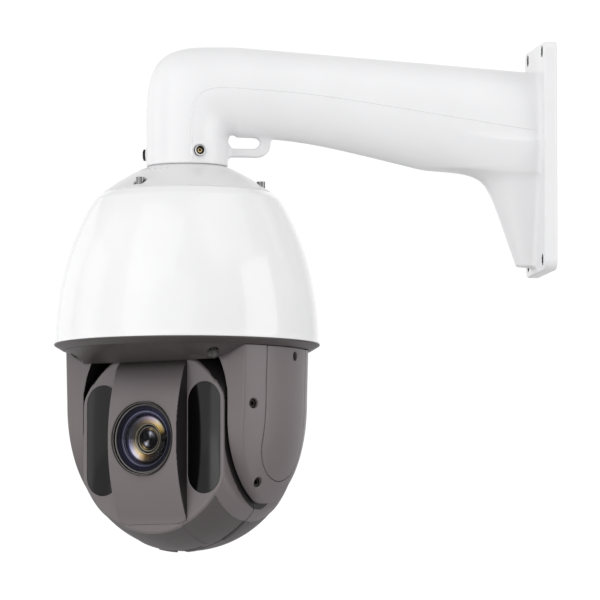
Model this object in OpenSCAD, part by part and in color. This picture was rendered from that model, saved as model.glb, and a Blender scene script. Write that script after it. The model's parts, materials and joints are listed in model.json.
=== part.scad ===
// Dome camera that pans and tilts, hung from a long cast wall arm.
// Millimetres. The origin is the centre of the wall plate's back face, +Z is up, and the arm
// reaches out along -Y. Inside the head, f is measured forward along the lens, l sideways.

/* [Wall bracket] */
// Distance from the wall to the pan axis
wall_reach = 304; // [300:1:306]
// Width of the wall plate
plate_w = 97; // [94:1:104]
// Height of the wall plate
plate_h = 193; // [190:1:200]
// Thickness of the wall plate
plate_t = 11; // [9:1:12]
// Horizontal spacing of the wall bolts
bolt_spacing_x = 70; // [68:1:72]
// Vertical spacing of the wall bolts
bolt_spacing_z = 174; // [172:1:176]
// Radius of a wall bolt hole
bolt_hole_r = 4.5; // [3.5:0.5:5]
// Radius of the collar that takes the dome's spigot
collar_r = 34; // [33:0.5:35]
// Height of the collar's lower edge
collar_z = -10; // [-12:1:-8]

/* [Dome housing] */
// Radius of the housing's rim
rim_r = 110.2; // [110:0.1:111]
// Height of the housing from its rim to the collar
dome_h = 148; // [147.6:0.1:148.2]
// Wall of the housing
shell_t = 3; // [2.5:0.5:3]
// Radius of the top cap's edge
cap_r = 69.5; // [69:0.5:70]

/* [Camera head] */
// Direction that the lens faces at rest, turned about the pan axis from -Y towards +X
head_az = 49.3; // [0:0.1:90]
// Depth of the tilt axis below the rim
tilt_drop = 80; // [79:0.5:80]
// Radius of the round camera head
ball_r = 90.5; // [90:0.5:90.5]
// Half the width of the camera head between its flat cheeks
ball_half_w = 70; // [69:0.5:70]
// Distance from the tilt axis to the flat front
face_f = 49.4; // [49:0.2:50]
// Half the width of the lens column
column_half_w = 34; // [33:0.1:34]
// Distance from the tilt axis to the lens column's front
column_f = 66; // [66:0.5:68]
// Outer radius of the lens bezel
bezel_r = 30.5; // [30:0.5:31]

/* [Drives] */
// Teeth on the pan gear
pan_gear_teeth = 64; // [64]
// Teeth on the pan motor's pinion
pan_pinion_teeth = 16; // [16]
// Teeth on the tilt gear
tilt_gear_teeth = 42; // [42]
// Teeth on the tilt motor's pinion
tilt_pinion_teeth = 14; // [14]

/* [Hidden] */
$fn = 96;

far = 200;
run_gap = 0.05;
rim_z = collar_z - 1 - dome_h;
tilt_z = rim_z - tilt_drop;

// Bracket: the arm's section is an ellipse that grows towards the wall.
plate_corner_r = 9;
elbow_z = 48;
elbow_r = 44;
elbow_y = -wall_reach - collar_r + elbow_r;
arm_bend_y = -200;
collar_boss_r = 6.6;
// The gusset's two nose points, each with its y, z and half width, and its foot on the plate.
gusset_nose = [[-44, -22, 26], [-24, -78, 11]];
gusset_foot = [[-36, 40], [36, 40], [36, -10], [12, -90], [-12, -90], [-36, -10]];
lug_t = 8;
spigot_r = 23.9;
socket_r = 24.2;
spigot_bore_r = 17;
collar_screw_az = [100.5, -19.5, 220.5];
collar_screw_z = 0.5;

// Housing: an oval shoulder below, then a cone up to the collar.
shoulder_h = 121;
oval_h = 171;
cap_edge_h = 127;
cap_screw_az = [164.9, 44.9, -75.1];
cap_screw_ring = 61.9;
cap_seat_h = 129.5;
ledge_h = 33;

// Levels above the rim, inside the housing.
deck_h = 14;
deck_t = 4;
deck_r = 99.5;
race_h = 26;
race_w = 7;
chassis_h = 33;
chassis_t = 3;
chassis_screw_ring = 101.2;
fan_x = 40;
power_x = -40;
power_post_h = 20.4;
board_h = 70;
board_t = 1.6;
board_top = board_h + board_t;

// Pan drive.
pan_module = 1.5;
pan_gear_r = pan_module * pan_gear_teeth / 2;
pan_pinion_r = pan_module * pan_pinion_teeth / 2;
pan_centres = pan_gear_r + pan_pinion_r + 0.1;
gear_bore_r = 34;

// Tilt drive, inside the right-hand yoke.
tilt_module = 1;
tilt_gear_r = tilt_module * tilt_gear_teeth / 2;
tilt_pinion_r = tilt_module * tilt_pinion_teeth / 2;
tilt_centres = tilt_gear_r + tilt_pinion_r + 0.1;
tilt_gear_l = 79;
tilt_gear_w = 5;

// Head: the ball runs in a socket, with a lower crown where it passes under the visor.
ball_t = 3;
socket_ball_r = 92.5;
crown_r = 81.5;
column_arc_r = 150;
belly_proud = 1.4;
crown_back = 146;
seam_f = 5;
seal_t = 0.6;
yoke_in = 71.5;
yoke_wall = 3.5;
yoke_half_f = 47;
yoke_side_r = 76.5;
yoke_turn_t = 15;
yoke_foot = 52.7;
arch_t = 32;
cover_half_f = 30.6;
cover_f = -4;
cover_end_t = -4.4;
cover_t = 3;
yoke_knee_t = 33;
yoke_knee_r = 100.1;
yoke_arc_r = 200;
yoke_top_r = 101.2;
trunnion_r = 8;
bearing_r = 14;
// Screws in the yoke's sides, each with its angle from the lens and height from the tilt axis.
yoke_screw_spots = [[67.3, 27.3], [75.9, -36.3]];
yoke_screw_r = 4.1;
plug_r = 3.7;
plug_spot = [96.1, 68];
visor_f = 55;
rear_visor_f = 68;
visor_half_l = 65.2;
visor_drop = 16;
ring_drop = 4.5;
visor_screw_l = 68;
visor_screw_f = 62;
visor_pocket_r = 5;

// Infrared windows and lens.
window_l = 50.3;
window_z = 0.3;
window_w = 32;
window_h = 91.3;
window_t = 2;
lens_bore_r = 27.4;
barrel_r = 27;
rod_l = 15.5;

// Frames: the dome turned to the head's rest direction, at the rim and at the tilt axis.
module at_rim() translate([0, -wall_reach, rim_z]) rotate([0, 0, head_az]) children();
module at_head() translate([0, -wall_reach, tilt_z]) rotate([0, 0, head_az]) children();
// A point on a circle about the pan axis, at an azimuth from -Y towards +X.
module polar(az, r) rotate([0, 0, az]) translate([0, -r, 0]) children();

// The six screws that hold the chassis to the housing, and the three that hold the cap.
module at_chassis_screws() for (k = [0 : 5]) polar(60 * k + 30, chassis_screw_ring) children();
module at_cap_screws() for (az = cap_screw_az) rotate([0, 0, -head_az]) polar(az, cap_screw_ring) children();
module at_visor_screws() for (x = [-1, 1]) translate([visor_screw_l * x, -visor_screw_f, 0]) children();
// A hole or shaft that points out of a yoke's side, from a radius about the pan axis.
module out_of_side(spot, r0) translate([0, 0, spot[1]]) polar(spot[0], r0) rotate([90, 0, 0]) children();

module tube(r_out, r_in, h) {
    difference() {
        cylinder(r = r_out, h = h);
        translate([0, 0, -1]) cylinder(r = r_in, h = h + 2);
    }
}
// Solids along the head's own directions.
module along_l(r, l0, l1) translate([l0, 0, 0]) rotate([0, 90, 0]) cylinder(r = r, h = l1 - l0);
module along_f(r, f0, f1) translate([0, -f0, 0]) rotate([90, 0, 0]) cylinder(r = r, h = f1 - f0);
module block(l0, l1, f0, f1, z0, z1) translate([l0, -f1, z0]) cube([l1 - l0, f1 - f0, z1 - z0]);

// A flat plate with round corners, centred, rising from z = 0.
module round_plate(w, h, r, t) {
    linear_extrude(t) {
        square([w - 2 * r, h], center = true);
        square([w, h - 2 * r], center = true);
        for (x = [-1, 1], y = [-1, 1]) translate([x * (w / 2 - r), y * (h / 2 - r)]) circle(r);
    }
}
// A stadium that stands upright on the head's flat front.
module upright_stadium(w, h, f0, f1) {
    translate([0, -f0, 0]) rotate([90, 0, 0]) round_plate(w, h, w / 2 - 0.001, f1 - f0);
}

// Involute spur gear, tooth centred on +X.
function involute_deg(a) = tan(a) * 180 / PI - a;
function flank_angle(r, rb, base_deg) = base_deg - involute_deg(acos(min(1, rb / r)));
module spur_gear(teeth, mod, h) {
    rp = mod * teeth / 2;
    rb = rp * cos(20);
    root = rp - 1.1 * mod;
    tip = rp + 0.85 * mod;
    start = max(rb, root);
    base_deg = 90 / teeth - 0.12 / rp * 180 / PI + involute_deg(20);
    radii = [start, rp, tip];
    half = concat([[root, base_deg]], [for (r = radii) [r, flank_angle(r, rb, base_deg)]]);
    points = [
        for (i = [0 : teeth - 1], side = [-1, 1], k = [0 : 3])
            let (p = half[side < 0 ? k : 3 - k], a = 360 * i / teeth + side * p[1])
            [p[0] * cos(a), p[0] * sin(a)]
    ];
    linear_extrude(h) polygon(points);
}

// ---------------------------------------------------------------- wall bracket
module arm_section(y, z0, z1, half_w) {
    translate([0, y, (z0 + z1) / 2]) rotate([90, 0, 0]) linear_extrude(0.1)
        scale([half_w, (z1 - z0) / 2]) circle(1, $fn = 40);
}
module arm_outside() {
    translate([0, -wall_reach, collar_z]) cylinder(r = collar_r, h = elbow_z - collar_z);
    hull() {
        translate([0, -wall_reach, 20]) cylinder(r = collar_r, h = 1, $fn = 48);
        translate([0, elbow_y, elbow_z]) scale([collar_r, elbow_r, elbow_r]) sphere(1, $fn = 32);
        arm_section(-262, 15.5, 90.4, collar_r);
    }
    hull() {
        arm_section(-262, 15.5, 90.4, collar_r);
        arm_section(arm_bend_y, 10.5, 86, 35);
    }
    hull() {
        arm_section(arm_bend_y, 10.5, 86, 35);
        arm_section(-plate_t, -33, 72.5, 38);
    }
    hull() {
        for (p = gusset_nose) translate([0, p[0], p[1]]) scale([p[2], 6, 12]) sphere(1, $fn = 24);
        translate([0, -plate_t, 0]) rotate([90, 0, 0]) linear_extrude(0.1)
            polygon(gusset_foot);
    }
}
module cable_channel() {
    hull() {
        arm_section(-wall_reach + 2, 28, 80, 26);
        arm_section(1.2, -12, 64, 30);
    }
    translate([0, -wall_reach, 54]) sphere(26);
    translate([0, -wall_reach, collar_z - 1]) cylinder(r = socket_r, h = 60);
}
module safety_lug() {
    translate([-lug_t / 2, 0, 0]) rotate([90, 0, 90]) linear_extrude(lug_t) difference() {
        union() {
            translate([-280, -1.5]) square([34.5, 24]);
            translate([-280, 9.5]) square([45.5, 13]);
            translate([-245.5, 9.5]) circle(11);
        }
        translate([-265, 5.5]) square([15.5, 25]);
        for (y = [-265, -249.5]) translate([y, 11.75]) circle(6.25);
        translate([-271.25, 11.75]) square([28, 25]);
    }
}
module bracket_arm() {
    color("white") difference() {
        union() {
            arm_outside();
            safety_lug();
            rotate([90, 0, 0]) round_plate(plate_w, plate_h, plate_corner_r, plate_t);
            for (az = collar_screw_az) translate([0, -wall_reach, collar_screw_z]) polar(az, collar_r - 4)
                rotate([90, 0, 0]) cylinder(r = collar_boss_r, h = 4.6);
        }
        cable_channel();
        for (x = [-1, 1], z = [-1, 1]) translate([x * bolt_spacing_x / 2, 1, z * bolt_spacing_z / 2])
            rotate([90, 0, 0]) cylinder(r = bolt_hole_r, h = plate_t + 40);
        for (az = collar_screw_az) translate([0, -wall_reach, collar_screw_z]) polar(az, 20)
            rotate([90, 0, 0]) cylinder(r = 3.05, h = 20);
    }
}
module collar_screws() {
    color("dimgray") for (az = collar_screw_az) translate([0, -wall_reach, collar_screw_z]) polar(az, 24.3)
        rotate([90, 0, 0]) difference() {
            union() {
                cylinder(r = 3, h = 12);
                translate([0, 0, 10.3]) cylinder(r = 4.8, h = 2.7);
            }
            translate([0, 0, 9.5]) cylinder(r = 2.4, h = 5, $fn = 6);
        }
}

// ---------------------------------------------------------------- fixed dome housing
module mount_adapter() {
    color("silver") at_rim() difference() {
        union() {
            translate([0, 0, dome_h - 8]) cylinder(r = 32, h = 4.9);
            translate([0, 0, dome_h - 12]) cylinder(r = spigot_r, h = 41);
            for (k = [0 : 7]) translate([0, 0, dome_h + 3 + 3 * k]) cylinder(r = spigot_r + 0.2, h = 1.4);
        }
        translate([0, 0, dome_h - 20]) cylinder(r = spigot_bore_r, h = 60);
    }
}
module cable_grommet() {
    color("black") at_rim() translate([0, 0, dome_h - 11]) difference() {
        union() {
            cylinder(r = spigot_bore_r - run_gap, h = 8);
            translate([0, 0, -4]) cylinder(r = 20, h = 3);
            translate([0, 0, -2]) cylinder(r = 10, h = 4);
        }
        translate([0, 0, -5]) cylinder(r = 6, h = 20);
    }
}

// Radius of the housing's outside at a height above the rim.
function oval_r(h) = (rim_r - 0.9) * sqrt(1 - pow(h / oval_h, 2));
// The cone above the shoulder bulges a little between its two ends.
function cone_h(r) = let (u = (r - collar_r) / (oval_r(shoulder_h) - collar_r))
    dome_h + (shoulder_h - dome_h) * u + 9 * u * (1 - u);
function oval_points(h0) = [for (k = [0 : 14]) let (h = h0 + (shoulder_h - h0) * k / 14) [oval_r(h), h]];
function cone_points(r0, r1, drop) = [for (k = [0 : 6]) let (r = r0 + (r1 - r0) * k / 6)
    [r, cone_h(r) - drop]];

module top_cap() {
    color("white") at_rim() difference() {
        rotate_extrude() polygon(concat(
            [[24.3, dome_h - 3], [24.3, dome_h]],
            cone_points(collar_r - 0.4, cap_r, 0),
            [[cap_r, cap_edge_h - 2.4], [cap_r - 2, cap_edge_h - 2.4]],
            cone_points(cap_r - 2, collar_r, 3)));
        at_cap_screws() translate([0, 0, cap_seat_h]) cylinder(r = 5.4, h = 20);
        at_cap_screws() translate([0, 0, 100]) cylinder(r = 2.1, h = 60);
    }
    color("white") at_rim() at_cap_screws() difference() {
        translate([0, 0, cap_seat_h - 3]) cylinder(r = 5, h = 3);
        translate([0, 0, 100]) cylinder(r = 2.1, h = 60);
    }
}
module cap_screws() {
    color("silver") at_rim() at_cap_screws() difference() {
        union() {
            translate([0, 0, cap_seat_h]) cylinder(r = 3.5, h = 6.2);
            translate([0, 0, cap_seat_h - 12]) cylinder(r = 2, h = 12);
        }
        translate([0, 0, cap_seat_h + 3.2]) cylinder(r = 1.8, h = 4, $fn = 6);
    }
}
module cap_seal() {
    color("black") at_rim() translate([0, 0, 123.6]) tube(66.9, 65, 1.6);
}
module upper_shell() {
    color("white") at_rim() difference() {
        union() {
            rotate_extrude() polygon(concat(
                [[rim_r - 3.4, 0.8], [rim_r, 0.8], [rim_r, 1.8]],
                oval_points(4.6),
                [[cap_r + 0.4, cone_h(cap_r + 0.4)], [cap_r + 0.4, cap_edge_h - 3.4],
                 [cap_r - 12, cap_edge_h - 3.4], [cap_r - 12, cap_edge_h - 6.4],
                 [cap_r - 1, cap_edge_h - 6.4]],
                [for (k = [14 : -1 : 0]) let (h = 4.6 + (shoulder_h - 7.6) * k / 14)
                    [oval_r(h) - shell_t, h]]));
            translate([0, 0, ledge_h - 3.5]) tube(oval_r(ledge_h) - 1.5, chassis_screw_ring - 4, 3.5);
            at_cap_screws() translate([0, 0, 112]) cylinder(r = 4.1, h = 10);
        }
        at_cap_screws() translate([0, 0, 114]) cylinder(r = 2.1, h = 20);
        at_chassis_screws() translate([0, 0, ledge_h - 5]) cylinder(r = 1.6, h = 8);
    }
}
module trim_ring() {
    color("dimgray") at_rim() rotate_extrude() polygon([
        [101.4, -ring_drop], [103, -ring_drop], [rim_r - 0.6, -0.6], [rim_r, 0], [rim_r, 0.7],
        [rim_r - 3.6, 0.7], [rim_r - 4.6, 6], [101.4, 6]
    ]);
}
module chassis_plate() {
    color("gray") at_rim() difference() {
        union() {
            translate([0, 0, chassis_h]) cylinder(r = 103, h = chassis_t);
            translate([0, 0, race_h]) cylinder(r = 38, h = race_w + 1);
        }
        translate([0, 0, race_h - 1]) cylinder(r = 32 + run_gap, h = race_w + 1);
        translate([0, 0, race_h]) cylinder(r = 28, h = 20);
        translate([0, pan_centres, 30]) cylinder(r = 11.1, h = 20);
        at_chassis_screws() translate([0, 0, ledge_h - 3]) cylinder(r = 1.6, h = 20);
        for (x = [-55, 55]) translate([x, 0, 30]) cylinder(r = 14, h = 20);
    }
}
module chassis_screws() {
    color("silver") at_rim() at_chassis_screws() translate([0, 0, chassis_h + chassis_t]) {
        translate([0, 0, -7]) cylinder(r = 1.5, h = 7);
        cylinder(r = 1.8, h = 1.6);
    }
}
module pan_bearing_outer_race() {
    color("silver") at_rim() translate([0, 0, race_h]) tube(32, 29, race_w);
}
module pan_bearing_balls() {
    color("silver") at_rim() for (k = [0 : 19]) polar(18 * k, 27) translate([0, 0, race_h + race_w / 2])
        sphere(1.95, $fn = 24);
}
module pan_motor() {
    color("black") at_rim() translate([0, pan_centres, chassis_h + chassis_t]) difference() {
        union() {
            round_plate(35.2, 35.2, 4, 28);
            translate([0, 0, -2]) cylinder(r = 11, h = 3);
        }
        translate([0, 0, -3]) cylinder(r = 2.55, h = 25);
    }
}
module board_standoffs() {
    color("gold") at_rim() {
        for (x = [-1, 1], y = [-1, 1]) translate([46.7 * x, 46.7 * y, chassis_h + chassis_t])
            cylinder(r = 3, h = board_h - chassis_h - chassis_t, $fn = 6);
        for (x = [-18, 18], y = [-16, 16]) translate([power_x + x, y, board_top])
            cylinder(r = 2.5, h = power_post_h, $fn = 6);
    }
}
module main_board() {
    color("darkgreen") at_rim() difference() {
        translate([0, 0, board_h]) cylinder(r = 78, h = board_t);
        translate([0, 0, board_h - 1]) cylinder(r = 13.2, h = 4);
    }
}
module board_connectors() {
    color("ivory") at_rim() {
        for (x = [-24, -8, 8, 24]) translate([x - 6, -68, board_top]) cube([12, 8, 7]);
        translate([-22, 50, board_top]) cube([44, 12, 9]);
    }
}
module slip_ring_stator() {
    color("black") at_rim() difference() {
        union() {
            translate([0, 0, 50]) cylinder(r = 13, h = 23);
            translate([0, 0, board_top]) cylinder(r = 19, h = 2.4);
        }
        translate([0, 0, 49]) cylinder(r = 6 + run_gap, h = 22.5);
    }
}
module processor_heat_sink() {
    color("silver") at_rim() translate([fan_x, 0, board_top]) {
        translate([-17, -17, 0]) cube([34, 34, 2]);
        for (k = [0 : 6]) translate([-17, -17 + 5.4 * k, 2]) cube([34, 1.6, 7]);
    }
}
module fan_frame() {
    color("black") at_rim() translate([fan_x, 0, board_top + 9]) {
        difference() {
            round_plate(40, 40, 3, 10);
            translate([0, 0, -1]) cylinder(r = 18.6, h = 12);
            for (x = [-16, 16], y = [-16, 16]) translate([x, y, -1]) cylinder(r = 1.7, h = 12);
        }
        difference() {
            union() {
                cylinder(r = 8.5, h = 1.5);
                for (k = [0 : 2]) rotate([0, 0, 120 * k + 45]) translate([0, -1.2, 0]) cube([18.8, 2.4, 1.5]);
            }
            translate([0, 0, -1]) cylinder(r = 1.55, h = 5);
        }
    }
}
module power_board() {
    color("darkgreen") at_rim() translate([power_x, 0, board_top + power_post_h]) {
        translate([-22, -20, 0]) cube([44, 40, 1.6]);
        translate([-14, -9, 1.6]) cube([18, 18, 12]);
        for (y = [-13, 0, 13]) translate([13, y, 1.6]) cylinder(r = 4.5, h = 11);
    }
}

// ---------------------------------------------------------------- pan body
// The visor's sloping underside runs from the straight lip out to the ring's round edge.
module visor_wedge(lip_f, lip_half_l, lip_drop) {
    hull() {
        translate([0, 0, -ring_drop]) intersection() {
            cylinder(r = yoke_top_r, h = 0.5, $fn = 72);
            translate([-far, -far, 0]) cube([2 * far, far - yoke_half_f - 0.3, 1]);
        }
        block(-lip_half_l, lip_half_l, lip_f, lip_f + 0.6, -lip_drop, -lip_drop + 0.3);
    }
}
module pan_base() {
    color("dimgray") at_rim() difference() {
        union() {
            translate([0, 0, deck_h]) cylinder(r = deck_r, h = deck_t);
            intersection() {
                translate([0, 0, -ring_drop]) cylinder(r = deck_r, h = deck_h + ring_drop + 1);
                union() {
                    block(-far, far, yoke_half_f + 0.3, far, -ring_drop, deck_h + 1);
                    block(-far, far, -far, -yoke_half_f - 0.3, -ring_drop, deck_h + 1);
                }
            }
            visor_wedge(visor_f, visor_half_l, visor_drop);
            rotate([0, 0, 180]) visor_wedge(rear_visor_f, visor_half_l - 4, visor_drop - 3);
        }
        intersection() {
            translate([0, 0, -tilt_drop]) sphere(socket_ball_r);
            block(-yoke_in, yoke_in, -far, visor_f, -far, far);
        }
        difference() {
            translate([0, 0, -3]) cylinder(r = deck_r - 4, h = deck_h + 3);
            block(-far, far, -63, 63, -10, 20);
            translate([0, 0, -tilt_drop]) sphere(socket_ball_r + 2);
        }
        translate([0, 0, deck_h - 4]) cylinder(r = 15, h = 12);
        at_visor_screws() translate([0, 0, -20]) cylinder(r = visor_pocket_r, h = 15);
        at_visor_screws() translate([0, 0, -20]) cylinder(r = 2.1, h = 22);
    }
}
module visor_screws() {
    color("gray") at_rim() at_visor_screws() difference() {
        union() {
            translate([0, 0, -5]) cylinder(r = 2, h = 6.9);
            translate([0, 0, -9.2]) cylinder(r = 3.4, h = 4.2);
        }
        translate([0, 0, -10]) cylinder(r = 1.5, h = 3, $fn = 6);
    }
}
module pan_hub() {
    color("silver") at_rim() translate([0, 0, deck_h + deck_t]) difference() {
        union() {
            cylinder(r = gear_bore_r - run_gap, h = 3);
            cylinder(r = 24, h = race_h - deck_h - deck_t);
            cylinder(r = 22 - run_gap, h = 28);
        }
        translate([0, 0, -1]) cylinder(r = 15, h = 40);
    }
}
module pan_gear() {
    color("ivory") at_rim() translate([0, 0, deck_h + deck_t]) difference() {
        rotate([0, 0, 90]) spur_gear(pan_gear_teeth, pan_module, 7);
        translate([0, 0, -1]) cylinder(r = gear_bore_r, h = 10);
    }
}
module pan_bearing_inner_race() {
    color("silver") at_rim() translate([0, 0, race_h]) tube(25, 22, race_w);
}
module slip_ring_rotor() {
    color("dimgray") at_rim() {
        translate([0, 0, 38]) cylinder(r = 15 - run_gap, h = 6);
        translate([0, 0, 44]) cylinder(r = 6, h = 26);
    }
}
// Outside of the two yokes, a body of revolution about the pan axis, seen from the tilt axis.
function yoke_r(t) = t > yoke_knee_t
    ? yoke_knee_r + (yoke_top_r - yoke_knee_r) * (t - yoke_knee_t) / (tilt_drop - ring_drop - yoke_knee_t)
    : yoke_knee_r - yoke_arc_r + sqrt(pow(yoke_arc_r, 2) - pow(t - yoke_knee_t, 2));
module yoke_round(inset) {
    rim_t = tilt_drop - ring_drop - 0.1;
    rotate_extrude() polygon(concat(
        [[0, -60]],
        [for (k = [0 : 16]) let (t = -60 + (yoke_knee_t + 60) * k / 16) [yoke_r(t) - inset, t]],
        [[yoke_r(rim_t) - inset, rim_t], [deck_r - 0.5 - inset, rim_t],
         [deck_r - 0.5 - inset, tilt_drop + deck_h], [0, tilt_drop + deck_h]]));
}
// The U outline of a yoke or its cover, seen from the side, as a prism along l.
module side_u(half_f, end_r, end_t) {
    hull_h = tilt_drop + deck_h;
    intersection() {
        union() {
            block(0, far, -half_f, half_f, end_t, hull_h);
            translate([0, 0, end_t]) along_l(end_r, 0, far);
        }
        block(0, far, -half_f, half_f, -far, hull_h);
    }
}
module cover_outline(gap) {
    intersection() {
        translate([0, -cover_f, 0]) side_u(cover_half_f - gap, cover_half_f - gap, cover_end_t);
        block(0, far, -far, far, -far, tilt_drop - ring_drop - 0.2);
    }
}
// A yoke seen from the side: upright edges that curve in to a short flat foot.
module yoke_outline() {
    block(0, far, -yoke_half_f, yoke_half_f, yoke_turn_t, tilt_drop + deck_h);
    intersection() {
        translate([0, yoke_side_r - yoke_half_f, yoke_turn_t]) along_l(yoke_side_r, 0, far);
        translate([0, yoke_half_f - yoke_side_r, yoke_turn_t]) along_l(yoke_side_r, 0, far);
        block(0, far, -yoke_half_f, yoke_half_f, -yoke_foot, yoke_turn_t);
    }
}
// The arched gap between the two yokes, seen from the front.
module along_f_arch() {
    translate([0, 0, arch_t]) along_f(yoke_in, -far, far);
    block(-yoke_in, yoke_in, -far, far, -far, arch_t);
}
module yoke() {
    difference() {
        intersection() {
            yoke_round(0);
            yoke_outline();
            block(42, far, -far, far, -far, far);
        }
        intersection() {
            sphere(socket_ball_r + 2);
            block(-far, yoke_in, -far, far, -far, far);
        }
        along_f_arch();
        difference() {
            cover_outline(0);
            yoke_round(cover_t);
        }
        difference() {
            intersection() {
                side_u(24, 24, -7);
                block(yoke_in + yoke_wall, far, -far, far, -far, 66);
            }
            along_l(18, 0, 78);
            for (f = [-14.5, 14.5]) translate([0, -f, tilt_centres]) along_l(3, 0, 86);
        }
        along_l(bearing_r + run_gap, 70, 77.6);
        along_l(9, 60, 90);
        for (spot = yoke_screw_spots) out_of_side(spot, yoke_r(spot[1]) - 7) cylinder(r = yoke_screw_r, h = 20);
        out_of_side(plug_spot, 92) cylinder(r = plug_r, h = 20);
    }
}
module yoke_right() color("dimgray") at_head() yoke();
module yoke_left() color("dimgray") at_head() mirror([1, 0, 0]) yoke();
module yoke_cover() {
    difference() {
        intersection() {
            cover_outline(0.2);
            yoke_round(0);
        }
        yoke_round(cover_t - 0.1);
        out_of_side(plug_spot, 80) cylinder(r = plug_r, h = 30);
    }
}
module yoke_cover_right() color("gray") at_head() yoke_cover();
module yoke_cover_left() color("gray") at_head() mirror([1, 0, 0]) yoke_cover();
module yoke_screws() {
    color("black") at_head() for (side = [0, 1]) mirror([side, 0, 0]) {
        for (spot = yoke_screw_spots) out_of_side(spot, yoke_r(spot[1]) - 6.9) difference() {
            cylinder(r = yoke_screw_r - 0.1, h = 3.9);
            translate([0, 0, 1.9]) cylinder(r = 2, h = 3, $fn = 6);
        }
        out_of_side(plug_spot, 92.1) cylinder(r = plug_r - 0.1, h = 5);
    }
}
module tilt_motor() {
    color("silver") at_head() translate([0, 0, tilt_centres]) difference() {
        union() {
            along_l(11, 87.2, 93);
            translate([86.1, 0, 0]) rotate([0, 90, 0]) rotate([0, 0, 90]) round_plate(36, 8, 3.9, 1.2);
        }
        along_l(1.55, 80, 92);
    }
}
module tilt_bearings() {
    color("silver") at_head() for (side = [0, 1]) mirror([side, 0, 0]) difference() {
        along_l(bearing_r, 72.4, 77.4);
        along_l(trunnion_r + run_gap, 70, 80);
    }
}

// ---------------------------------------------------------------- driven spindles
module pan_pinion() {
    color("gold") at_rim() translate([0, pan_centres, deck_h + deck_t + 0.5]) {
        rotate([0, 0, 270 + 180 / pan_pinion_teeth]) spur_gear(pan_pinion_teeth, pan_module, 7);
        cylinder(r = 2.5, h = 35);
    }
}
module fan_rotor() {
    color("dimgray") at_rim() translate([fan_x, 0, board_top + 9]) {
        cylinder(r = 1.5, h = 9);
        translate([0, 0, 2]) cylinder(r = 9, h = 7.5);
        for (k = [0 : 6]) rotate([0, 0, 360 * k / 7]) translate([8.5, 0, 5.75]) rotate([38, 0, 0])
            translate([0, -0.5, -3.6]) cube([9, 1, 7.2]);
    }
}
module tilt_pinion() {
    color("gold") at_head() translate([0, 0, tilt_centres]) {
        translate([tilt_gear_l - 0.3, 0, 0]) rotate([0, 90, 0]) rotate([0, 0, 180 / tilt_pinion_teeth])
            spur_gear(tilt_pinion_teeth, tilt_module, tilt_gear_w + 0.6);
        along_l(1.5, 78, 91);
    }
}

// ---------------------------------------------------------------- tilting camera head
// The head's outside, shrunk evenly by inset: a ball with flat cheeks, a flat front and a low crown.
module ball_form(inset) {
    intersection() {
        sphere(ball_r - inset);
        block(inset - ball_half_w, ball_half_w - inset, -far, face_f - inset, -far, far);
        union() {
            along_l(crown_r - inset, -far, far);
            rotate([-crown_back, 0, 0]) translate([-far, -far, inset]) cube([2 * far, 2 * far, far]);
        }
    }
}
module ball_skin() {
    difference() {
        ball_form(0);
        ball_form(ball_t);
    }
}
// Low relief on the head's underside: a belt below the lens, and pads on both sides of the seam.
module belly_relief(proud, l0, l1, f0, f1) {
    intersection() {
        difference() {
            sphere(ball_r + proud);
            sphere(ball_r - 1);
        }
        block(l0, l1, f0, f1, -far, -40);
    }
}
module both_windows() for (x = [-1, 1]) translate([x * window_l, 0, window_z]) children();
module front_shell() {
    color("gray") at_head() difference() {
        union() {
            intersection() {
                ball_skin();
                block(-far, far, seam_f, far, -far, far);
            }
            belly_relief(0.8, -28, 28, 12, face_f - 0.2);
            for (x = [-13, 13]) belly_relief(belly_proud, x - 8, x + 8, seam_f, 10.6);
        }
        both_windows() upright_stadium(window_w, window_h, face_f - window_t, far);
        both_windows() upright_stadium(window_w - 3, window_h - 3, 0, far);
        block(-30.5, 30.5, 20, far, -56, 56);
        for (x = [-1, 1]) along_l(trunnion_r + 0.4, 60 * x - 15, 60 * x + 15);
    }
}
// The column's rounded front, seen from the side.
module column_side() {
    intersection() {
        along_l_disc(column_f - column_arc_r, column_arc_r);
        block(-column_half_w, column_half_w, face_f - 6, far, -far, far);
        sphere(ball_r - 0.1);
        union() {
            along_l(crown_r - 0.2, -far, far);
            block(-far, far, 0, far, -far, 0);
        }
    }
}
module along_l_disc(f, r) translate([0, -f, 0]) along_l(r, -far, far);
module lens_column() {
    color("gray") at_head() difference() {
        intersection() {
            column_side();
            union() {
                block(-far, far, face_f, far, -far, far);
                block(-30.3, 30.3, face_f - 6, face_f, -55.8, 55.8);
            }
        }
        intersection() {
            along_l_disc(column_f - column_arc_r, column_arc_r - 3.5);
            block(-29, 29, face_f - 10, far, -54, 54);
        }
        along_f(lens_bore_r, 30, far);
        along_f(bezel_r + run_gap, column_f - 3.4, far);
    }
    color("gray") at_head() difference() {
        intersection() {
            along_l_disc(column_f - column_arc_r, column_arc_r - 3);
            along_f(bezel_r + 2, face_f - 4, far);
            block(-29.5, 29.5, 0, far, -far, far);
        }
        along_f(lens_bore_r, 30, far);
        along_f(bezel_r + run_gap, column_f - 3.4, far);
    }
}
module screw_places() for (x = [-1, 1], z = [-1, 1]) translate([63 * x, 0, 40 * z]) children();
module rear_shell() {
    color("gray") at_head() difference() {
        union() {
            intersection() {
                ball_skin();
                block(-far, far, -far, seam_f - seal_t, -far, far);
            }
            for (x = [-49.5, 49.5]) belly_relief(belly_proud, x - 11, x + 11, -3.5, seam_f - seal_t);
            intersection() {
                screw_places() along_f(5, -far, seam_f - seal_t);
                ball_form(0);
            }
        }
        for (x = [-1, 1]) along_l(trunnion_r + 0.4, 60 * x - 15, 60 * x + 15);
        screw_places() along_f(1.8, -90, 20);
        screw_places() along_f(3.4, -90, -22);
    }
}
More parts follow.
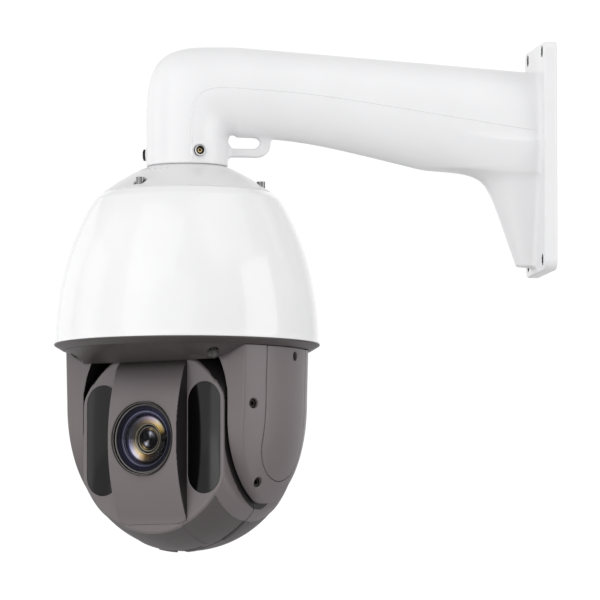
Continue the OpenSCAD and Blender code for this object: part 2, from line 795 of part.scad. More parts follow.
module shell_seal() {
    color("black") at_head() difference() {
        intersection() {
            ball_skin();
            block(-far, far, seam_f - seal_t, seam_f, -far, far);
        }
        for (x = [-1, 1]) along_l(trunnion_r + 0.4, 60 * x - 15, 60 * x + 15);
    }
}
module housing_screws() {
    color("silver") at_head() screw_places() {
        along_f(1.7, -22, seam_f - 1.6);
        along_f(3, -25.2, -22);
    }
}
module ir_window() {
    upright_stadium(window_w - 0.2, window_h - 0.2, face_f - window_t, face_f - 0.5);
}
module ir_window_right() color("black") at_head() translate([window_l, 0, window_z]) ir_window();
module ir_window_left() color("black") at_head() translate([-window_l, 0, window_z]) ir_window();
module ir_boards() {
    color("darkgreen") at_head() for (x = [-1, 1]) translate([48 * x, 0, window_z])
        upright_stadium(26, 76, 35, 36.6);
}
module ir_lamps() {
    color("white") at_head() for (x = [-1, 1], k = [-2 : 2]) translate([49 * x, 0, window_z + 14.5 * k])
        along_f(5.5, 36.6, 44);
}
module lens_bezel() {
    color("gray") at_head() difference() {
        union() {
            along_f(bezel_r, column_f - 3.3, column_f + 0.4);
            along_f(bezel_r - 1.6, column_f, column_f + 1);
        }
        along_f(barrel_r + run_gap, 0, far);
        difference() {
            along_f(bezel_r - 2.4, column_f + 0.4, far);
            along_f(bezel_r - 2.8, 0, far);
        }
    }
}
module lens_barrel() {
    color("black") at_head() difference() {
        along_f(barrel_r, 4, column_f - 0.6);
        along_f(24.6, column_f - 3, far);
        along_f(22.2, column_f - 12, far);
        along_f(20.5, 8, far);
        along_f(9, 0, 20);
        for (x = [-1, 1]) translate([rod_l * x, 0, 0]) along_f(1 + run_gap, 5, 20);
    }
}
module front_element() {
    color("navy") at_head() intersection() {
        along_f(22.1, column_f - 11.9, column_f - 3);
        translate([0, 40 - column_f + 6.5, 0]) sphere(40, $fn = 240);
    }
}
module guide_rods() {
    color("silver") at_head() for (x = [-1, 1]) translate([rod_l * x, 0, 0]) along_f(1, 5.1, column_f - 13);
}
module lens_cell(f0, f1, r) {
    difference() {
        union() {
            along_f(r, f0, f1);
            along_f(11.6, f0 - 1, f1 + 1);
        }
        for (x = [-1, 1]) translate([rod_l * x, 0, 0]) along_f(1 + run_gap, f0 - 5, f1 + 5);
    }
}
module zoom_group() color("indigo") at_head() lens_cell(38, 46, 20.4);
module focus_group() color("indigo") at_head() lens_cell(18, 24, 20.4);
module ir_cut_filter() {
    color("teal") at_head() {
        block(-7, 7, 0.9, 1.9, -7, 7);
        block(7, 20, 0.9, 1.9, -5, 5);
    }
}
module camera_cradle() {
    color("silver") at_head() {
        difference() {
            union() {
                block(-58, 58, -30, 30, -34, -31);
                for (x = [-1, 1]) along_l(15, 58 * x - 1.5 + 0.5 * x, 58 * x + 1.5 + 0.5 * x);
                for (x = [-1, 1]) block(58 * x - 1.5 + 0.5 * x, 58 * x + 1.5 + 0.5 * x, -12, 12, -34, 0);
                block(-10, 10, 10, 30, -32, -22);
            }
            along_f(barrel_r + run_gap, 3, 60);
        }
        block(-22, 22, -9, -6, -34, 26);
    }
}
module sensor_board() {
    color("darkgreen") at_head() {
        block(-21, 21, -5.9, -4.3, -20, 24);
        block(-6, 6, -4.3, -2.5, -5, 5);
    }
}
module trunnion(l_end) {
    along_l(16, 60.1, 66.9);
    along_l(trunnion_r, 66, l_end);
}
module trunnion_right() color("silver") at_head() trunnion(84.5);
module trunnion_left() color("silver") at_head() mirror([1, 0, 0]) trunnion(79);
module tilt_gear() {
    color("ivory") at_head() difference() {
        translate([tilt_gear_l, 0, 0]) rotate([0, 90, 0]) rotate([0, 0, 180])
            spur_gear(tilt_gear_teeth, tilt_module, tilt_gear_w);
        along_l(trunnion_r + run_gap, 60, 100);
    }
}

bracket_arm();
collar_screws();
mount_adapter();
cable_grommet();
top_cap();
cap_screws();
cap_seal();
upper_shell();
trim_ring();
chassis_plate();
chassis_screws();
pan_bearing_outer_race();
pan_bearing_balls();
pan_motor();
board_standoffs();
main_board();
board_connectors();
slip_ring_stator();
processor_heat_sink();
fan_frame();
power_board();
pan_base();
pan_hub();
pan_gear();
pan_bearing_inner_race();
slip_ring_rotor();
yoke_right();
yoke_left();
yoke_cover_right();
yoke_cover_left();
yoke_screws();
visor_screws();
tilt_motor();
tilt_bearings();
pan_pinion();
fan_rotor();
tilt_pinion();
front_shell();
lens_column();
rear_shell();
shell_seal();
housing_screws();
ir_window_right();
ir_window_left();
ir_boards();
ir_lamps();
lens_bezel();
lens_barrel();
front_element();
guide_rods();
camera_cradle();
sensor_board();
trunnion_right();
trunnion_left();
tilt_gear();
zoom_group();
focus_group();
ir_cut_filter();
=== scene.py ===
"""Looks of the pan and tilt dome camera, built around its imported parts."""
import json
import math

import bmesh
import bpy
import numpy as np
from mathutils import Matrix, Vector


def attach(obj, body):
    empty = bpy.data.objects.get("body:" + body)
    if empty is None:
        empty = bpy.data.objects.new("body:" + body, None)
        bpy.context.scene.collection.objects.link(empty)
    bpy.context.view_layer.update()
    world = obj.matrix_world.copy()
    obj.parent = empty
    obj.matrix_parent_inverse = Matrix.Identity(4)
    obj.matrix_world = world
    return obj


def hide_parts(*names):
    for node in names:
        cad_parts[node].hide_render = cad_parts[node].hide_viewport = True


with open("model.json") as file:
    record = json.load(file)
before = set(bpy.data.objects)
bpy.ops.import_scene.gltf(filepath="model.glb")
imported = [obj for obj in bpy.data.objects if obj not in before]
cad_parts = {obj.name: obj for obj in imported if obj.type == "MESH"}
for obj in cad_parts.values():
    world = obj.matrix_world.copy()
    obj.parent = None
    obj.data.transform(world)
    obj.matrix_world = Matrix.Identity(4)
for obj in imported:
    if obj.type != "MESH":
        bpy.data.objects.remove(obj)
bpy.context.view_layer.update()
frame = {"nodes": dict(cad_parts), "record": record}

# ---------------- the part's main sizes, in mm
WALL_REACH = 304.0
RIM_Z = -159.0
TILT_Z = -239.0
HEAD_AZ = 49.3
COLLAR_R = 34.0
COLLAR_Z = -10.0
COLLAR_SCREW_AZ = (100.5, -19.5, 220.5)
COLLAR_SCREW_Z = 0.5
COLLAR_SCREW_OUT = 24.3      # the screws' inner ends, from the dome's axis
RIM_R = 110.2
DOME_H = 148.0
CAP_R = 69.5
CAP_EDGE_H = 127.0
CAP_SEAT_H = 129.5
CAP_SCREW_AZ = (164.9, 44.9, -75.1)
CAP_SCREW_RING = 61.9
SHOULDER_H = 121.0
OVAL_H = 171.0
BALL_R = 90.5
BALL_HALF_W = 70.0
BALL_T = 3.0
FACE_F = 49.4
SEAM_F = 5.0
SEAL_T = 0.6
CROWN_R = 81.5
CROWN_BACK = 146.0
COLUMN_HALF_W = 34.0
COLUMN_F = 66.0
COLUMN_ARC_R = 150.0
BEZEL_R = 30.5
WINDOW_L = 50.3
WINDOW_Z = 0.3
WINDOW_W = 32.0
WINDOW_H = 91.3
YOKE_IN = 71.5
YOKE_HALF_F = 47.0
YOKE_SIDE_R = 76.5
YOKE_TURN_T = 15.0
YOKE_FOOT = 52.7
ARCH_T = 32.0
COVER_HALF_F = 30.6
COVER_F = -4.0
COVER_END_T = -4.4
RING_DROP = 4.5
TILT_DROP = 80.0

STEP = 1.0   # grid step of the field meshes, in mm
MM = 0.001



def turn(degrees, axis):
    return Matrix.Rotation(math.radians(degrees), 4, axis)


def on_pan_axis(z):
    return Matrix.Translation((0, -WALL_REACH * MM, z * MM))


DOME = on_pan_axis(RIM_Z) @ turn(HEAD_AZ, "Z")
HEAD = on_pan_axis(TILT_Z) @ turn(HEAD_AZ, "Z")
EYE = HEAD @ turn(90, "X")   # local Z runs forward along the lens
WORLD = Matrix.Identity(4)


# ---------------- fields: negative inside, in mm
def smooth_min(a, b, k):
    h = np.maximum(k - np.abs(a - b), 0) / k
    return np.minimum(a, b) - h * h * k / 4


def smooth_max(a, b, k):
    return -smooth_min(-a, -b, k)


def smooth_step(v, low, high):
    t = np.clip((v - low) / (high - low), 0, 1)
    return t * t * (3 - 2 * t)


def round_rect(u, v, half_u, half_v, r):
    """Distance to a rectangle with round corners."""
    qu, qv = np.abs(u) - half_u + r, np.abs(v) - half_v + r
    return np.hypot(np.maximum(qu, 0), np.maximum(qv, 0)) + np.minimum(np.maximum(qu, qv), 0) - r


def slab(v, low, high):
    return np.maximum(low - v, v - high)


def power_norm(a, b, n):
    return (np.abs(a) ** n + np.abs(b) ** n + 1e-9) ** (1 / n)


def soft_plus(v, width):
    return width * np.logaddexp(0, v / width)


def net(field, low, high, step):
    """Points and quads of the surface where the field is 0, as a surface net moved onto the field."""
    low = np.array(low, float)
    size = [int(math.ceil((b - a) / step)) + 1 for a, b in zip(low, high)]
    axes = [low[i] + step * np.arange(size[i]) for i in range(3)]
    x, y, z = np.meshgrid(*[a.astype(np.float32) for a in axes], indexing="ij", sparse=True)
    d = np.ascontiguousarray(np.broadcast_to(field(x, y, z), size), dtype=np.float32)
    inside = d < 0
    count = np.zeros([s - 1 for s in size], np.uint8)
    for i in (0, 1):
        for j in (0, 1):
            for k in (0, 1):
                count += inside[i:size[0] - 1 + i, j:size[1] - 1 + j, k:size[2] - 1 + k]
    cells = np.argwhere((count > 0) & (count < 8))
    number = np.full(count.shape, -1, np.int32)
    number[tuple(cells.T)] = np.arange(len(cells))
    total = np.zeros((len(cells), 3))
    weight = np.zeros(len(cells))
    for axis in range(3):
        u, v = [a for a in range(3) if a != axis]
        for i in (0, 1):
            for j in (0, 1):
                a = cells.copy()
                a[:, u] += i
                a[:, v] += j
                b = a.copy()
                b[:, axis] += 1
                d0, d1 = d[tuple(a.T)], d[tuple(b.T)]
                hit = (d0 < 0) != (d1 < 0)
                p = a[hit].astype(float)
                p[:, axis] += d0[hit] / (d0[hit] - d1[hit])
                total[hit] += p
                weight[hit] += 1
    points = low + step * total / weight[:, None]
    quads = []
    for axis in range(3):
        u, v = (axis + 1) % 3, (axis + 2) % 3
        first = [slice(None)] * 3
        second = [slice(None)] * 3
        first[axis], second[axis] = slice(None, -1), slice(1, None)
        edges = np.argwhere(inside[tuple(first)] != inside[tuple(second)])
        ok = (edges[:, u] > 0) & (edges[:, v] > 0) & (edges[:, u] < size[u] - 1) & (edges[:, v] < size[v] - 1)
        edges = edges[ok]
        ring = []
        for du, dv in ((-1, -1), (0, -1), (0, 0), (-1, 0)):
            c = edges.copy()
            c[:, u] += du
            c[:, v] += dv
            ring.append(number[tuple(c.T)])
        quad = np.stack(ring, 1)
        away = ~inside[tuple(edges.T)]
        quad[away] = quad[away][:, ::-1]
        quads.append(quad)
    quads = np.concatenate(quads)
    for _ in range(3):
        value, grad = field_gradient(field, points, step * 0.05)
        move = -value[:, None] * grad / np.maximum((grad ** 2).sum(1), 0.05)[:, None]
        length = np.linalg.norm(move, axis=1)
        points += move * np.minimum(1, 0.45 * step / np.maximum(length, 1e-9))[:, None]
    _, grad = field_gradient(field, points, step * 0.15)
    normals = grad / np.maximum(np.linalg.norm(grad, axis=1), 1e-9)[:, None]
    return points, quads, normals


def field_gradient(field, points, h):
    x, y, z = points.T
    value = field(x, y, z)
    grad = np.stack([(field(x + h, y, z) - field(x - h, y, z)) / (2 * h),
                     (field(x, y + h, z) - field(x, y - h, z)) / (2 * h),
                     (field(x, y, z + h) - field(x, y, z - h)) / (2 * h)], 1)
    return value, grad


def add_object(name, data):
    obj = bpy.data.objects.new(name, data)
    bpy.context.scene.collection.objects.link(obj)
    return obj


def field_object(name, field, low, high, step, place):
    """A closed smooth mesh of a field, with its normals taken from the field."""
    points, quads, normals = net(field, low, high, step)
    mesh = bpy.data.meshes.new(name)
    mesh.vertices.add(len(points))
    matrix = np.array(place)
    world = points * MM @ matrix[:3, :3].T + matrix[:3, 3]
    mesh.vertices.foreach_set("co", world.astype(np.float32).ravel())
    mesh.loops.add(quads.size)
    mesh.loops.foreach_set("vertex_index", quads.ravel().astype(np.int32))
    mesh.polygons.add(len(quads))
    mesh.polygons.foreach_set("loop_start", np.arange(0, quads.size, 4, dtype=np.int32))
    mesh.polygons.foreach_set("use_smooth", np.ones(len(quads), bool))
    mesh.update(calc_edges=True)
    mesh.validate()
    mesh.normals_split_custom_set_from_vertices(normals @ matrix[:3, :3].T)
    return add_object(name, mesh)


# ---------------- meshes turned or swept from outlines
def rounded(points, segments=5):
    """Outline points from (u, v, radius) corners, each corner replaced by an arc."""
    out = []
    n = len(points)
    for i, (u, v, r) in enumerate(points):
        p = Vector((u, v))
        if r <= 0:
            out.append((u, v))
            continue
        a = Vector(points[i - 1][:2]) - p
        b = Vector(points[(i + 1) % n][:2]) - p
        half = a.angle(b) / 2
        cut = min(r / math.tan(half), 0.49 * a.length, 0.49 * b.length)
        r = cut * math.tan(half)
        centre = p + (a.normalized() + b.normalized()).normalized() * (r / math.sin(half))
        start = p + a.normalized() * cut - centre
        end = p + b.normalized() * cut - centre
        swing = start.angle_signed(end)
        for k in range(segments + 1):
            t = k / segments
            c, s = math.cos(-swing * t), math.sin(-swing * t)
            out.append((centre.x + start.x * c - start.y * s, centre.y + start.x * s + start.y * c))
    return out


def solid_object(name, bm, place, sharp):
    """An object of the closed solid in bm, smooth but for the edges that turn by more than sharp degrees."""
    bmesh.ops.recalc_face_normals(bm, faces=bm.faces)
    mesh = bpy.data.meshes.new(name)
    bm.to_mesh(mesh)
    bm.free()
    mesh.polygons.foreach_set("use_smooth", np.ones(len(mesh.polygons), bool))
    mesh.set_sharp_from_angle(angle=math.radians(sharp))
    mesh.transform(place)
    return add_object(name, mesh)


def turned(name, outline, place, segments=192):
    """A closed outline of (radius, height) points turned about the local Z axis."""
    bm = bmesh.new()
    rings = []
    for r, h in outline:
        if r < 1e-6:
            rings.append([bm.verts.new((0, 0, h * MM))] * segments)
            continue
        rings.append([bm.verts.new((r * MM * math.cos(2 * math.pi * k / segments),
                                    r * MM * math.sin(2 * math.pi * k / segments), h * MM))
                      for k in range(segments)])
    for i, ring in enumerate(rings):
        other = rings[(i + 1) % len(rings)]
        for k in range(segments):
            corners = [ring[k], ring[(k + 1) % segments], other[(k + 1) % segments], other[k]]
            corners = [c for j, c in enumerate(corners) if c not in corners[:j]]
            if len(corners) > 2:
                bm.faces.new(corners)
    return solid_object(name, bm, place, 32)


# ---------------- materials
FINISH = {}   # every material made below, by its name


class Nodes:
    """Short calls for building one material's node tree."""

    def __init__(self, name):
        self.mat = FINISH[name] = bpy.data.materials.new(name)
        self.mat.use_nodes = True
        self.tree = self.mat.node_tree
        self.shader = self.tree.nodes["Principled BSDF"]
        self.coords = self.new("TexCoord")

    def new(self, kind):
        return self.tree.nodes.new("ShaderNode" + kind)

    def link(self, a, b):
        self.tree.links.new(a, b)

    def place(self):
        """The object's own x, y and z, as outputs of one node."""
        node = self.new("SeparateXYZ")
        self.link(self.coords.outputs["Object"], node.inputs["Vector"])
        return node.outputs

    def noise(self, scale, detail=2.0, rough=0.5, stretch=None):
        node = self.new("TexNoise")
        node.inputs["Scale"].default_value = scale
        node.inputs["Detail"].default_value = detail
        node.inputs["Roughness"].default_value = rough
        source = self.coords.outputs["Object"]
        if stretch is not None:
            mapping = self.new("Mapping")
            mapping.inputs["Scale"].default_value = stretch
            self.link(source, mapping.inputs["Vector"])
            source = mapping.outputs["Vector"]
        self.link(source, node.inputs["Vector"])
        return node.outputs["Fac"]

    def math(self, operation, a, b):
        node = self.new("Math")
        node.operation = operation
        self.link(a, node.inputs[0])
        node.inputs[1].default_value = b
        return node.outputs["Value"]

    def ramp(self, fac, stops):
        """A colour ramp of (position, colour) stops, where a plain number is a grey."""
        node = self.new("ValToRGB")
        ramp = node.color_ramp
        while len(ramp.elements) < len(stops):
            ramp.elements.new(0.5)
        for element, (at, colour) in zip(ramp.elements, stops):
            element.position = at
            element.color = (*colour, 1) if isinstance(colour, tuple) else (colour, colour, colour, 1)
        self.link(fac, node.inputs["Fac"])
        return node.outputs["Color"]

    def spread(self, fac, low, high):
        node = self.new("MapRange")
        node.inputs["To Min"].default_value = low
        node.inputs["To Max"].default_value = high
        self.link(fac, node.inputs["Value"])
        return node.outputs["Result"]

    def bump(self, fac, depth, strength=1.0):
        node = self.new("Bump")
        node.inputs["Distance"].default_value = depth
        node.inputs["Strength"].default_value = strength
        self.link(fac, node.inputs["Height"])
        self.link(node.outputs["Normal"], self.shader.inputs["Normal"])

    def colour(self, fac, stops):
        self.link(self.ramp(fac, stops), self.shader.inputs["Base Color"])

    def gloss(self, fac, low, high):
        self.link(self.spread(fac, low, high), self.shader.inputs["Roughness"])

    def set(self, **values):
        for key, value in values.items():
            self.shader.inputs[key.replace("_", " ")].default_value = value


def shades(colour, spread):
    """A darker and a lighter shade of one colour."""
    return [tuple(c * (1 - spread) for c in colour), tuple(min(1, c * (1 + spread)) for c in colour)]


def painted(name, colour, rough, coat=0.0, coat_rough=0.1, peel=0.00002, peel_scale=900, metal=0.0):
    """Sprayed or powder paint: a faint orange peel, with slight changes of shade and gloss."""
    n = Nodes(name)
    low, high = shades(colour, 0.015)
    n.colour(n.noise(18, 3), [(0.3, low), (0.7, high)])
    n.gloss(n.noise(60, 4), rough * 0.88, rough * 1.12)
    n.set(Metallic=metal, Coat_Weight=coat, Coat_Roughness=coat_rough)
    n.bump(n.noise(peel_scale, 2), peel)
    return n.mat


def paint_with_painted_shadow(name, colour, rough, shade):
    """Paint darkened towards the top as a painted shadow of the visor. Shade is (height in mm, share of the
    colour) pairs.
    """
    n = Nodes(name)
    low, high = shade[0][0], shade[-1][0]
    rise = n.math("SUBTRACT", n.math("MULTIPLY", n.place()["Z"], 1000 / (high - low)), low / (high - low))
    stops = [((z - low) / (high - low), tuple(c * share for c in colour)) for z, share in shade]
    n.colour(rise, stops)
    n.gloss(n.noise(60, 4), rough * 0.88, rough * 1.12)
    n.bump(n.noise(900, 2), 0.000012)
    return n.mat


def moulded(name, colour, rough, grain=0.00003):
    """Moulded plastic or rubber with a fine spark-eroded grain."""
    n = Nodes(name)
    low, high = shades(colour, 0.05)
    n.colour(n.noise(40, 4), [(0.3, low), (0.7, high)])
    n.gloss(n.noise(110, 3), rough * 0.85, rough * 1.15)
    n.bump(n.noise(2600, 1), grain)
    return n.mat


def machined(name, colour, rough, metal=1.0):
    """Bare metal with fine tool marks."""
    n = Nodes(name)
    low, high = shades(colour, 0.08)
    marks = n.noise(900, 3, 0.6, stretch=(1, 1, 14))
    n.colour(marks, [(0.3, low), (0.7, high)])
    n.gloss(marks, rough * 0.75, rough * 1.25)
    n.set(Metallic=metal)
    n.bump(marks, 0.000006)
    return n.mat


def board(name):
    """Circuit board: green mask over faint copper tracks."""
    n = Nodes(name)
    tracks = n.noise(420, 1, 0.3, stretch=(1, 0.25, 1))
    n.colour(tracks, [(0.46, (0.01, 0.09, 0.035)), (0.54, (0.02, 0.16, 0.06))])
    n.gloss(n.noise(200), 0.3, 0.45)
    n.bump(tracks, 0.00003)
    return n.mat


def glossy_window(name, colour, rough=0.14):
    """Dark infrared-pass window: nearly black, polished."""
    n = Nodes(name)
    low, high = shades(colour, 0.12)
    n.colour(n.noise(25, 2), [(0.35, low), (0.65, high)])
    n.gloss(n.noise(70, 3), rough * 0.7, rough * 1.4)
    n.set(Specular_IOR_Level=0.4)
    n.bump(n.noise(350, 2), 0.000002)
    return n.mat


def coated_glass(name, colour, tint):
    """A lens surface: black glass under a thin coating whose colour shifts over it."""
    n = Nodes(name)
    low, high = shades(colour, 0.2)
    n.colour(n.noise(60, 1), [(0.3, low), (0.7, high)])
    n.gloss(n.noise(120), 0.01, 0.03)
    n.set(Specular_Tint=tint, Coat_Weight=1.0, Coat_Roughness=0.01, Coat_Tint=tint)
    return n.mat


def turned_with_painted_light(name, reach, stops, sweep, rough):
    """A lathe-turned part. Its colour changes outwards from its axis, up to a radius of reach mm, with
    painted shade in its grooves, and round the axis, with painted highlights and reflections on some sides
    only."""
    n = Nodes(name)
    place = n.place()
    flat = n.new("CombineXYZ")
    n.link(place["X"], flat.inputs["X"])
    n.link(place["Y"], flat.inputs["Y"])
    length = n.new("VectorMath")
    length.operation = "LENGTH"
    n.link(flat.outputs["Vector"], length.inputs[0])
    scale = n.math("MULTIPLY", length.outputs["Value"], 1000 / reach)
    angle = n.new("TexGradient")
    angle.gradient_type = "RADIAL"
    n.link(flat.outputs["Vector"], angle.inputs["Vector"])
    mix = n.new("Mix")
    mix.data_type = "RGBA"
    mix.blend_type = "MULTIPLY"
    mix.inputs["Factor"].default_value = 1.0
    n.link(n.ramp(scale, [(r / reach, c) for r, c in stops]), mix.inputs["A"])
    stops = sorted((((a + 180) % 360) / 360, c) for a, c in sweep)
    n.link(n.ramp(angle.outputs["Fac"], stops), mix.inputs["B"])
    n.link(mix.outputs["Result"], n.shader.inputs["Base Color"])
    n.gloss(n.noise(300), rough * 0.85, rough * 1.15)
    n.set(Specular_IOR_Level=0.08)
    return n.mat


def clear_glass(name):
    """Optical glass with a faint violet coating."""
    n = Nodes(name)
    low, high = (0.93, 0.92, 0.99), (0.97, 0.96, 1.0)
    n.colour(n.noise(40, 1), [(0.3, low), (0.7, high)])
    n.set(Transmission_Weight=1.0, Roughness=0.0, IOR=1.1)
    return n.mat


# Colours of the lens's turned parts and the collar screws, each with its radius in mm: own colours with
# painted shade in the grooves and painted highlights and reflections on the rings and cone.
BEZEL_STOPS = ((27.3, (0.02, 0.02, 0.03)), (27.6, (0.30, 0.28, 0.27)), (28.0, (0.30, 0.28, 0.27)),
               (28.2, (0.012, 0.012, 0.016)), (29.0, 0.015), (29.1, (0.36, 0.33, 0.31)),
               (29.4, (0.36, 0.33, 0.31)), (29.6, 0.012), (29.8, (0.10, 0.09, 0.09)))
STEP_STOPS = ((24.0, (0.03, 0.03, 0.06)), (24.5, (0.006, 0.006, 0.014)), (24.9, (0.05, 0.05, 0.095)),
              (25.3, (0.006, 0.006, 0.014)), (25.8, (0.035, 0.035, 0.06)), (26.2, (0.006, 0.006, 0.014)),
              (26.8, (0.03, 0.03, 0.05)))
RETAINER_STOPS = ((20.9, (0.01, 0.01, 0.03)), (21.3, (0.22, 0.22, 0.36)), (21.6, (0.01, 0.01, 0.03)),
                  (22.0, (0.02, 0.02, 0.05)), (22.3, (0.6, 0.62, 0.75)), (22.55, (0.02, 0.02, 0.05)),
                  (23.1, (0.16, 0.16, 0.30)), (23.4, (0.01, 0.01, 0.03)), (23.9, (0.03, 0.03, 0.06)))
CONE_STOPS = ((12.7, (0.05, 0.03, 0.02)), (13.1, (0.5, 0.40, 0.17)), (13.8, (1.0, 0.86, 0.42)),
              (15.2, (1.0, 0.88, 0.56)), (16.4, (1.0, 0.98, 0.96)), (18.1, (0.95, 0.95, 1.0)),
              (18.8, (0.10, 0.10, 0.18)), (20.4, (0.01, 0.01, 0.03)))
CUP_STOPS = ((0.4, 0.01), (3.0, (0.35, 0.36, 0.38)), (5.2, (0.85, 0.88, 0.90)), (6.8, (0.10, 0.10, 0.11)),
             (7.6, 0.02), (8.4, (0.75, 0.58, 0.22)), (9.3, 0.03))
RIM_STOPS = ((9.0, (0.8, 0.72, 0.48)), (13.5, (0.8, 0.74, 0.56)))
SOCKET_STOPS = ((0.9, (0.02, 0.018, 0.015)), (1.2, (0.75, 0.6, 0.32)), (1.9, (0.6, 0.45, 0.2)),
                (2.2, (0.03, 0.025, 0.02)), (3.3, 0.02), (3.7, 0.8), (4.4, 0.8), (4.7, 0.03))

# Painted highlights and reflections round each part's axis, as a share of its colour or a tint, in degrees
# anticlockwise from its right seen from the front.
BEZEL_SWEEP = ((0, 0.3), (50, 0.45), (95, 0.7), (140, 0.95), (180, 1), (230, 1), (275, 0.9), (320, 0.4),
               (359, 0.3))
STEP_SWEEP = ((0, 0.25), (50, 0.9), (95, 0.7), (150, 0.35), (190, 0.5), (235, 0.6), (290, 0.3), (359, 0.25))
CONE_SWEEP = ((0, (0.004, 0.004, 0.005)), (14, (0.03, 0.022, 0.012)), (27, (0.40, 0.31, 0.11)),
              (40, (0.70, 0.58, 0.28)), (54, (0.84, 0.76, 0.60)), (70, (0.68, 0.61, 0.60)),
              (90, (0.36, 0.30, 0.32)), (112, (0.13, 0.12, 0.13)), (140, (0.05, 0.05, 0.055)),
              (165, (0.05, 0.052, 0.06)), (186, (0.15, 0.15, 0.20)), (203, (0.5, 0.5, 0.62)),
              (219, (0.92, 0.90, 0.95)), (236, (1, 0.94, 0.84)), (249, (0.62, 0.48, 0.28)),
              (262, (0.13, 0.09, 0.04)), (280, (0.03, 0.022, 0.015)), (305, (0.014, 0.014, 0.016)),
              (359, (0.004, 0.004, 0.005)))
CUP_SWEEP = ((0, 0), (30, 0.1), (60, 0.3), (77, 1), (94, 0.15), (115, 0), (200, 0), (222, 0.5), (235, 1),
             (250, 0.25), (275, 0), (359, 0))
RIM_SWEEP = ((0, 0.3), (40, 0.7), (80, 0.6), (130, 0.4), (180, 0.5), (225, 1), (265, 0.9), (310, 0.4),
             (359, 0.3))
SOCKET_SWEEP = ((0, 0.9), (60, 0.4), (110, 0.5), (160, 0.85), (250, 1), (320, 1), (359, 0.9))

# The lens cover's painted shadow of the visor, by height over the wall plate's centre in mm, darkest under
# the visor.
COLUMN_PAINTED_SHADOW = ((-206, 1.0), (-200, 0.93), (-191.7, 0.80), (-183.3, 0.58), (-175, 0.30))


def make_finishes():
    """One material for every slot, and some for pieces that look unlike their slot."""
    painted("white_paint", (0.86, 0.86, 0.87), 0.3, coat=0.25, coat_rough=0.15)
    painted("shell_paint", (0.87, 0.87, 0.875), 0.2, coat=0.6, coat_rough=0.05, peel=0.000006)
    machined("collar_screw", (0.075, 0.06, 0.04), 0.3)
    painted("cast_metal", (0.6, 0.61, 0.63), 0.5, metal=1.0, peel=0.00005, peel_scale=1500)
    moulded("seal_rubber", (0.02, 0.02, 0.02), 0.7)
    machined("steel", (0.62, 0.62, 0.63), 0.22)
    painted("trim_grey", (0.062, 0.052, 0.053), 0.36, peel=0.00001)
    moulded("motor_black", (0.02, 0.02, 0.021), 0.45)
    machined("motor_can", (0.5, 0.51, 0.53), 0.35)
    machined("brass", (0.75, 0.55, 0.22), 0.25)
    board("circuit_board")
    moulded("connector_cream", (0.75, 0.7, 0.58), 0.45)
    machined("heat_sink", (0.6, 0.61, 0.63), 0.4)
    moulded("gear_white", (0.78, 0.76, 0.7), 0.4)
    moulded("slip_ring_grey", (0.05, 0.05, 0.055), 0.45)
    painted("head_grey", (0.152, 0.131, 0.135), 0.38, coat=0.1, coat_rough=0.25, peel=0.000012)
    # Lens cover paint with the visor's shadow painted in, darker towards the top.
    paint_with_painted_shadow("column_painted_shadow", (0.155, 0.134, 0.1375), 0.4, COLUMN_PAINTED_SHADOW)
    moulded("belly_grey", (0.082, 0.071, 0.073), 0.42)
    machined("cap_screw", (0.25, 0.25, 0.25), 0.12)
    painted("cap_paint", (0.74, 0.735, 0.735), 0.3, coat=0.25, coat_rough=0.15)
    machined("dark_screw", (0.03, 0.027, 0.025), 0.4)
    glossy_window("ir_window", (0.0014, 0.0009, 0.001))
    moulded("lamp_lens", (0.7, 0.72, 0.75), 0.15, grain=0.0)
    machined("barrel_black", (0.012, 0.012, 0.016), 0.3, metal=0.0)
    coated_glass("lens_glass", (0.01, 0.008, 0.02), (0.75, 0.6, 1.0, 1))
    machined("lens_cell", (0.02, 0.018, 0.03), 0.3, metal=0.0)
    coated_glass("filter_glass", (0.05, 0.16, 0.16), (0.6, 1.0, 0.95, 1))
    # Near black: the lens cover's side walls, and painted shade on the head's crown, brow and cheeks and on
    # the yokes' inner faces.
    painted("column_side", (0.012, 0.010, 0.010), 0.45, peel=0.000012)
    # Turned parts: own colours with painted shade in grooves and painted highlights and reflections.
    turned_with_painted_light("bezel", 31, BEZEL_STOPS, BEZEL_SWEEP, 0.4)
    turned_with_painted_light("step_black", 28, STEP_STOPS, STEP_SWEEP, 0.4)
    turned_with_painted_light("retainer", 25, RETAINER_STOPS, STEP_SWEEP, 0.4)
    turned_with_painted_light("cone_painted_sheen", 21, CONE_STOPS, CONE_SWEEP, 0.4)
    turned_with_painted_light("gold_rim", 14, RIM_STOPS, RIM_SWEEP, 0.4)
    turned_with_painted_light("cup_black", 10, CUP_STOPS, CUP_SWEEP, 0.4)
    clear_glass("clear_glass")
    turned_with_painted_light("socket_screw", 5, SOCKET_STOPS, SOCKET_SWEEP, 0.35)


make_finishes()
SLOT_OF = {entry["node"]: entry["material_slot"] for entry in frame["record"]["subparts"]}


def dress_cad():
    """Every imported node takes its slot's finish."""
    for name, obj in frame["nodes"].items():
        mat = FINISH["cap_screw" if name == "cap_screws" else SLOT_OF[name]]
        if not obj.material_slots:
            obj.data.materials.append(mat)
        for slot in obj.material_slots:
            slot.material = mat


def piece(obj, slot, body, *replaced, finish=None):
    """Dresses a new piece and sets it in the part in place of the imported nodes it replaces."""
    obj.data.materials.append(FINISH[finish or slot])
    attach(obj, body)
    if replaced:
        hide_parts(*replaced)
    return obj


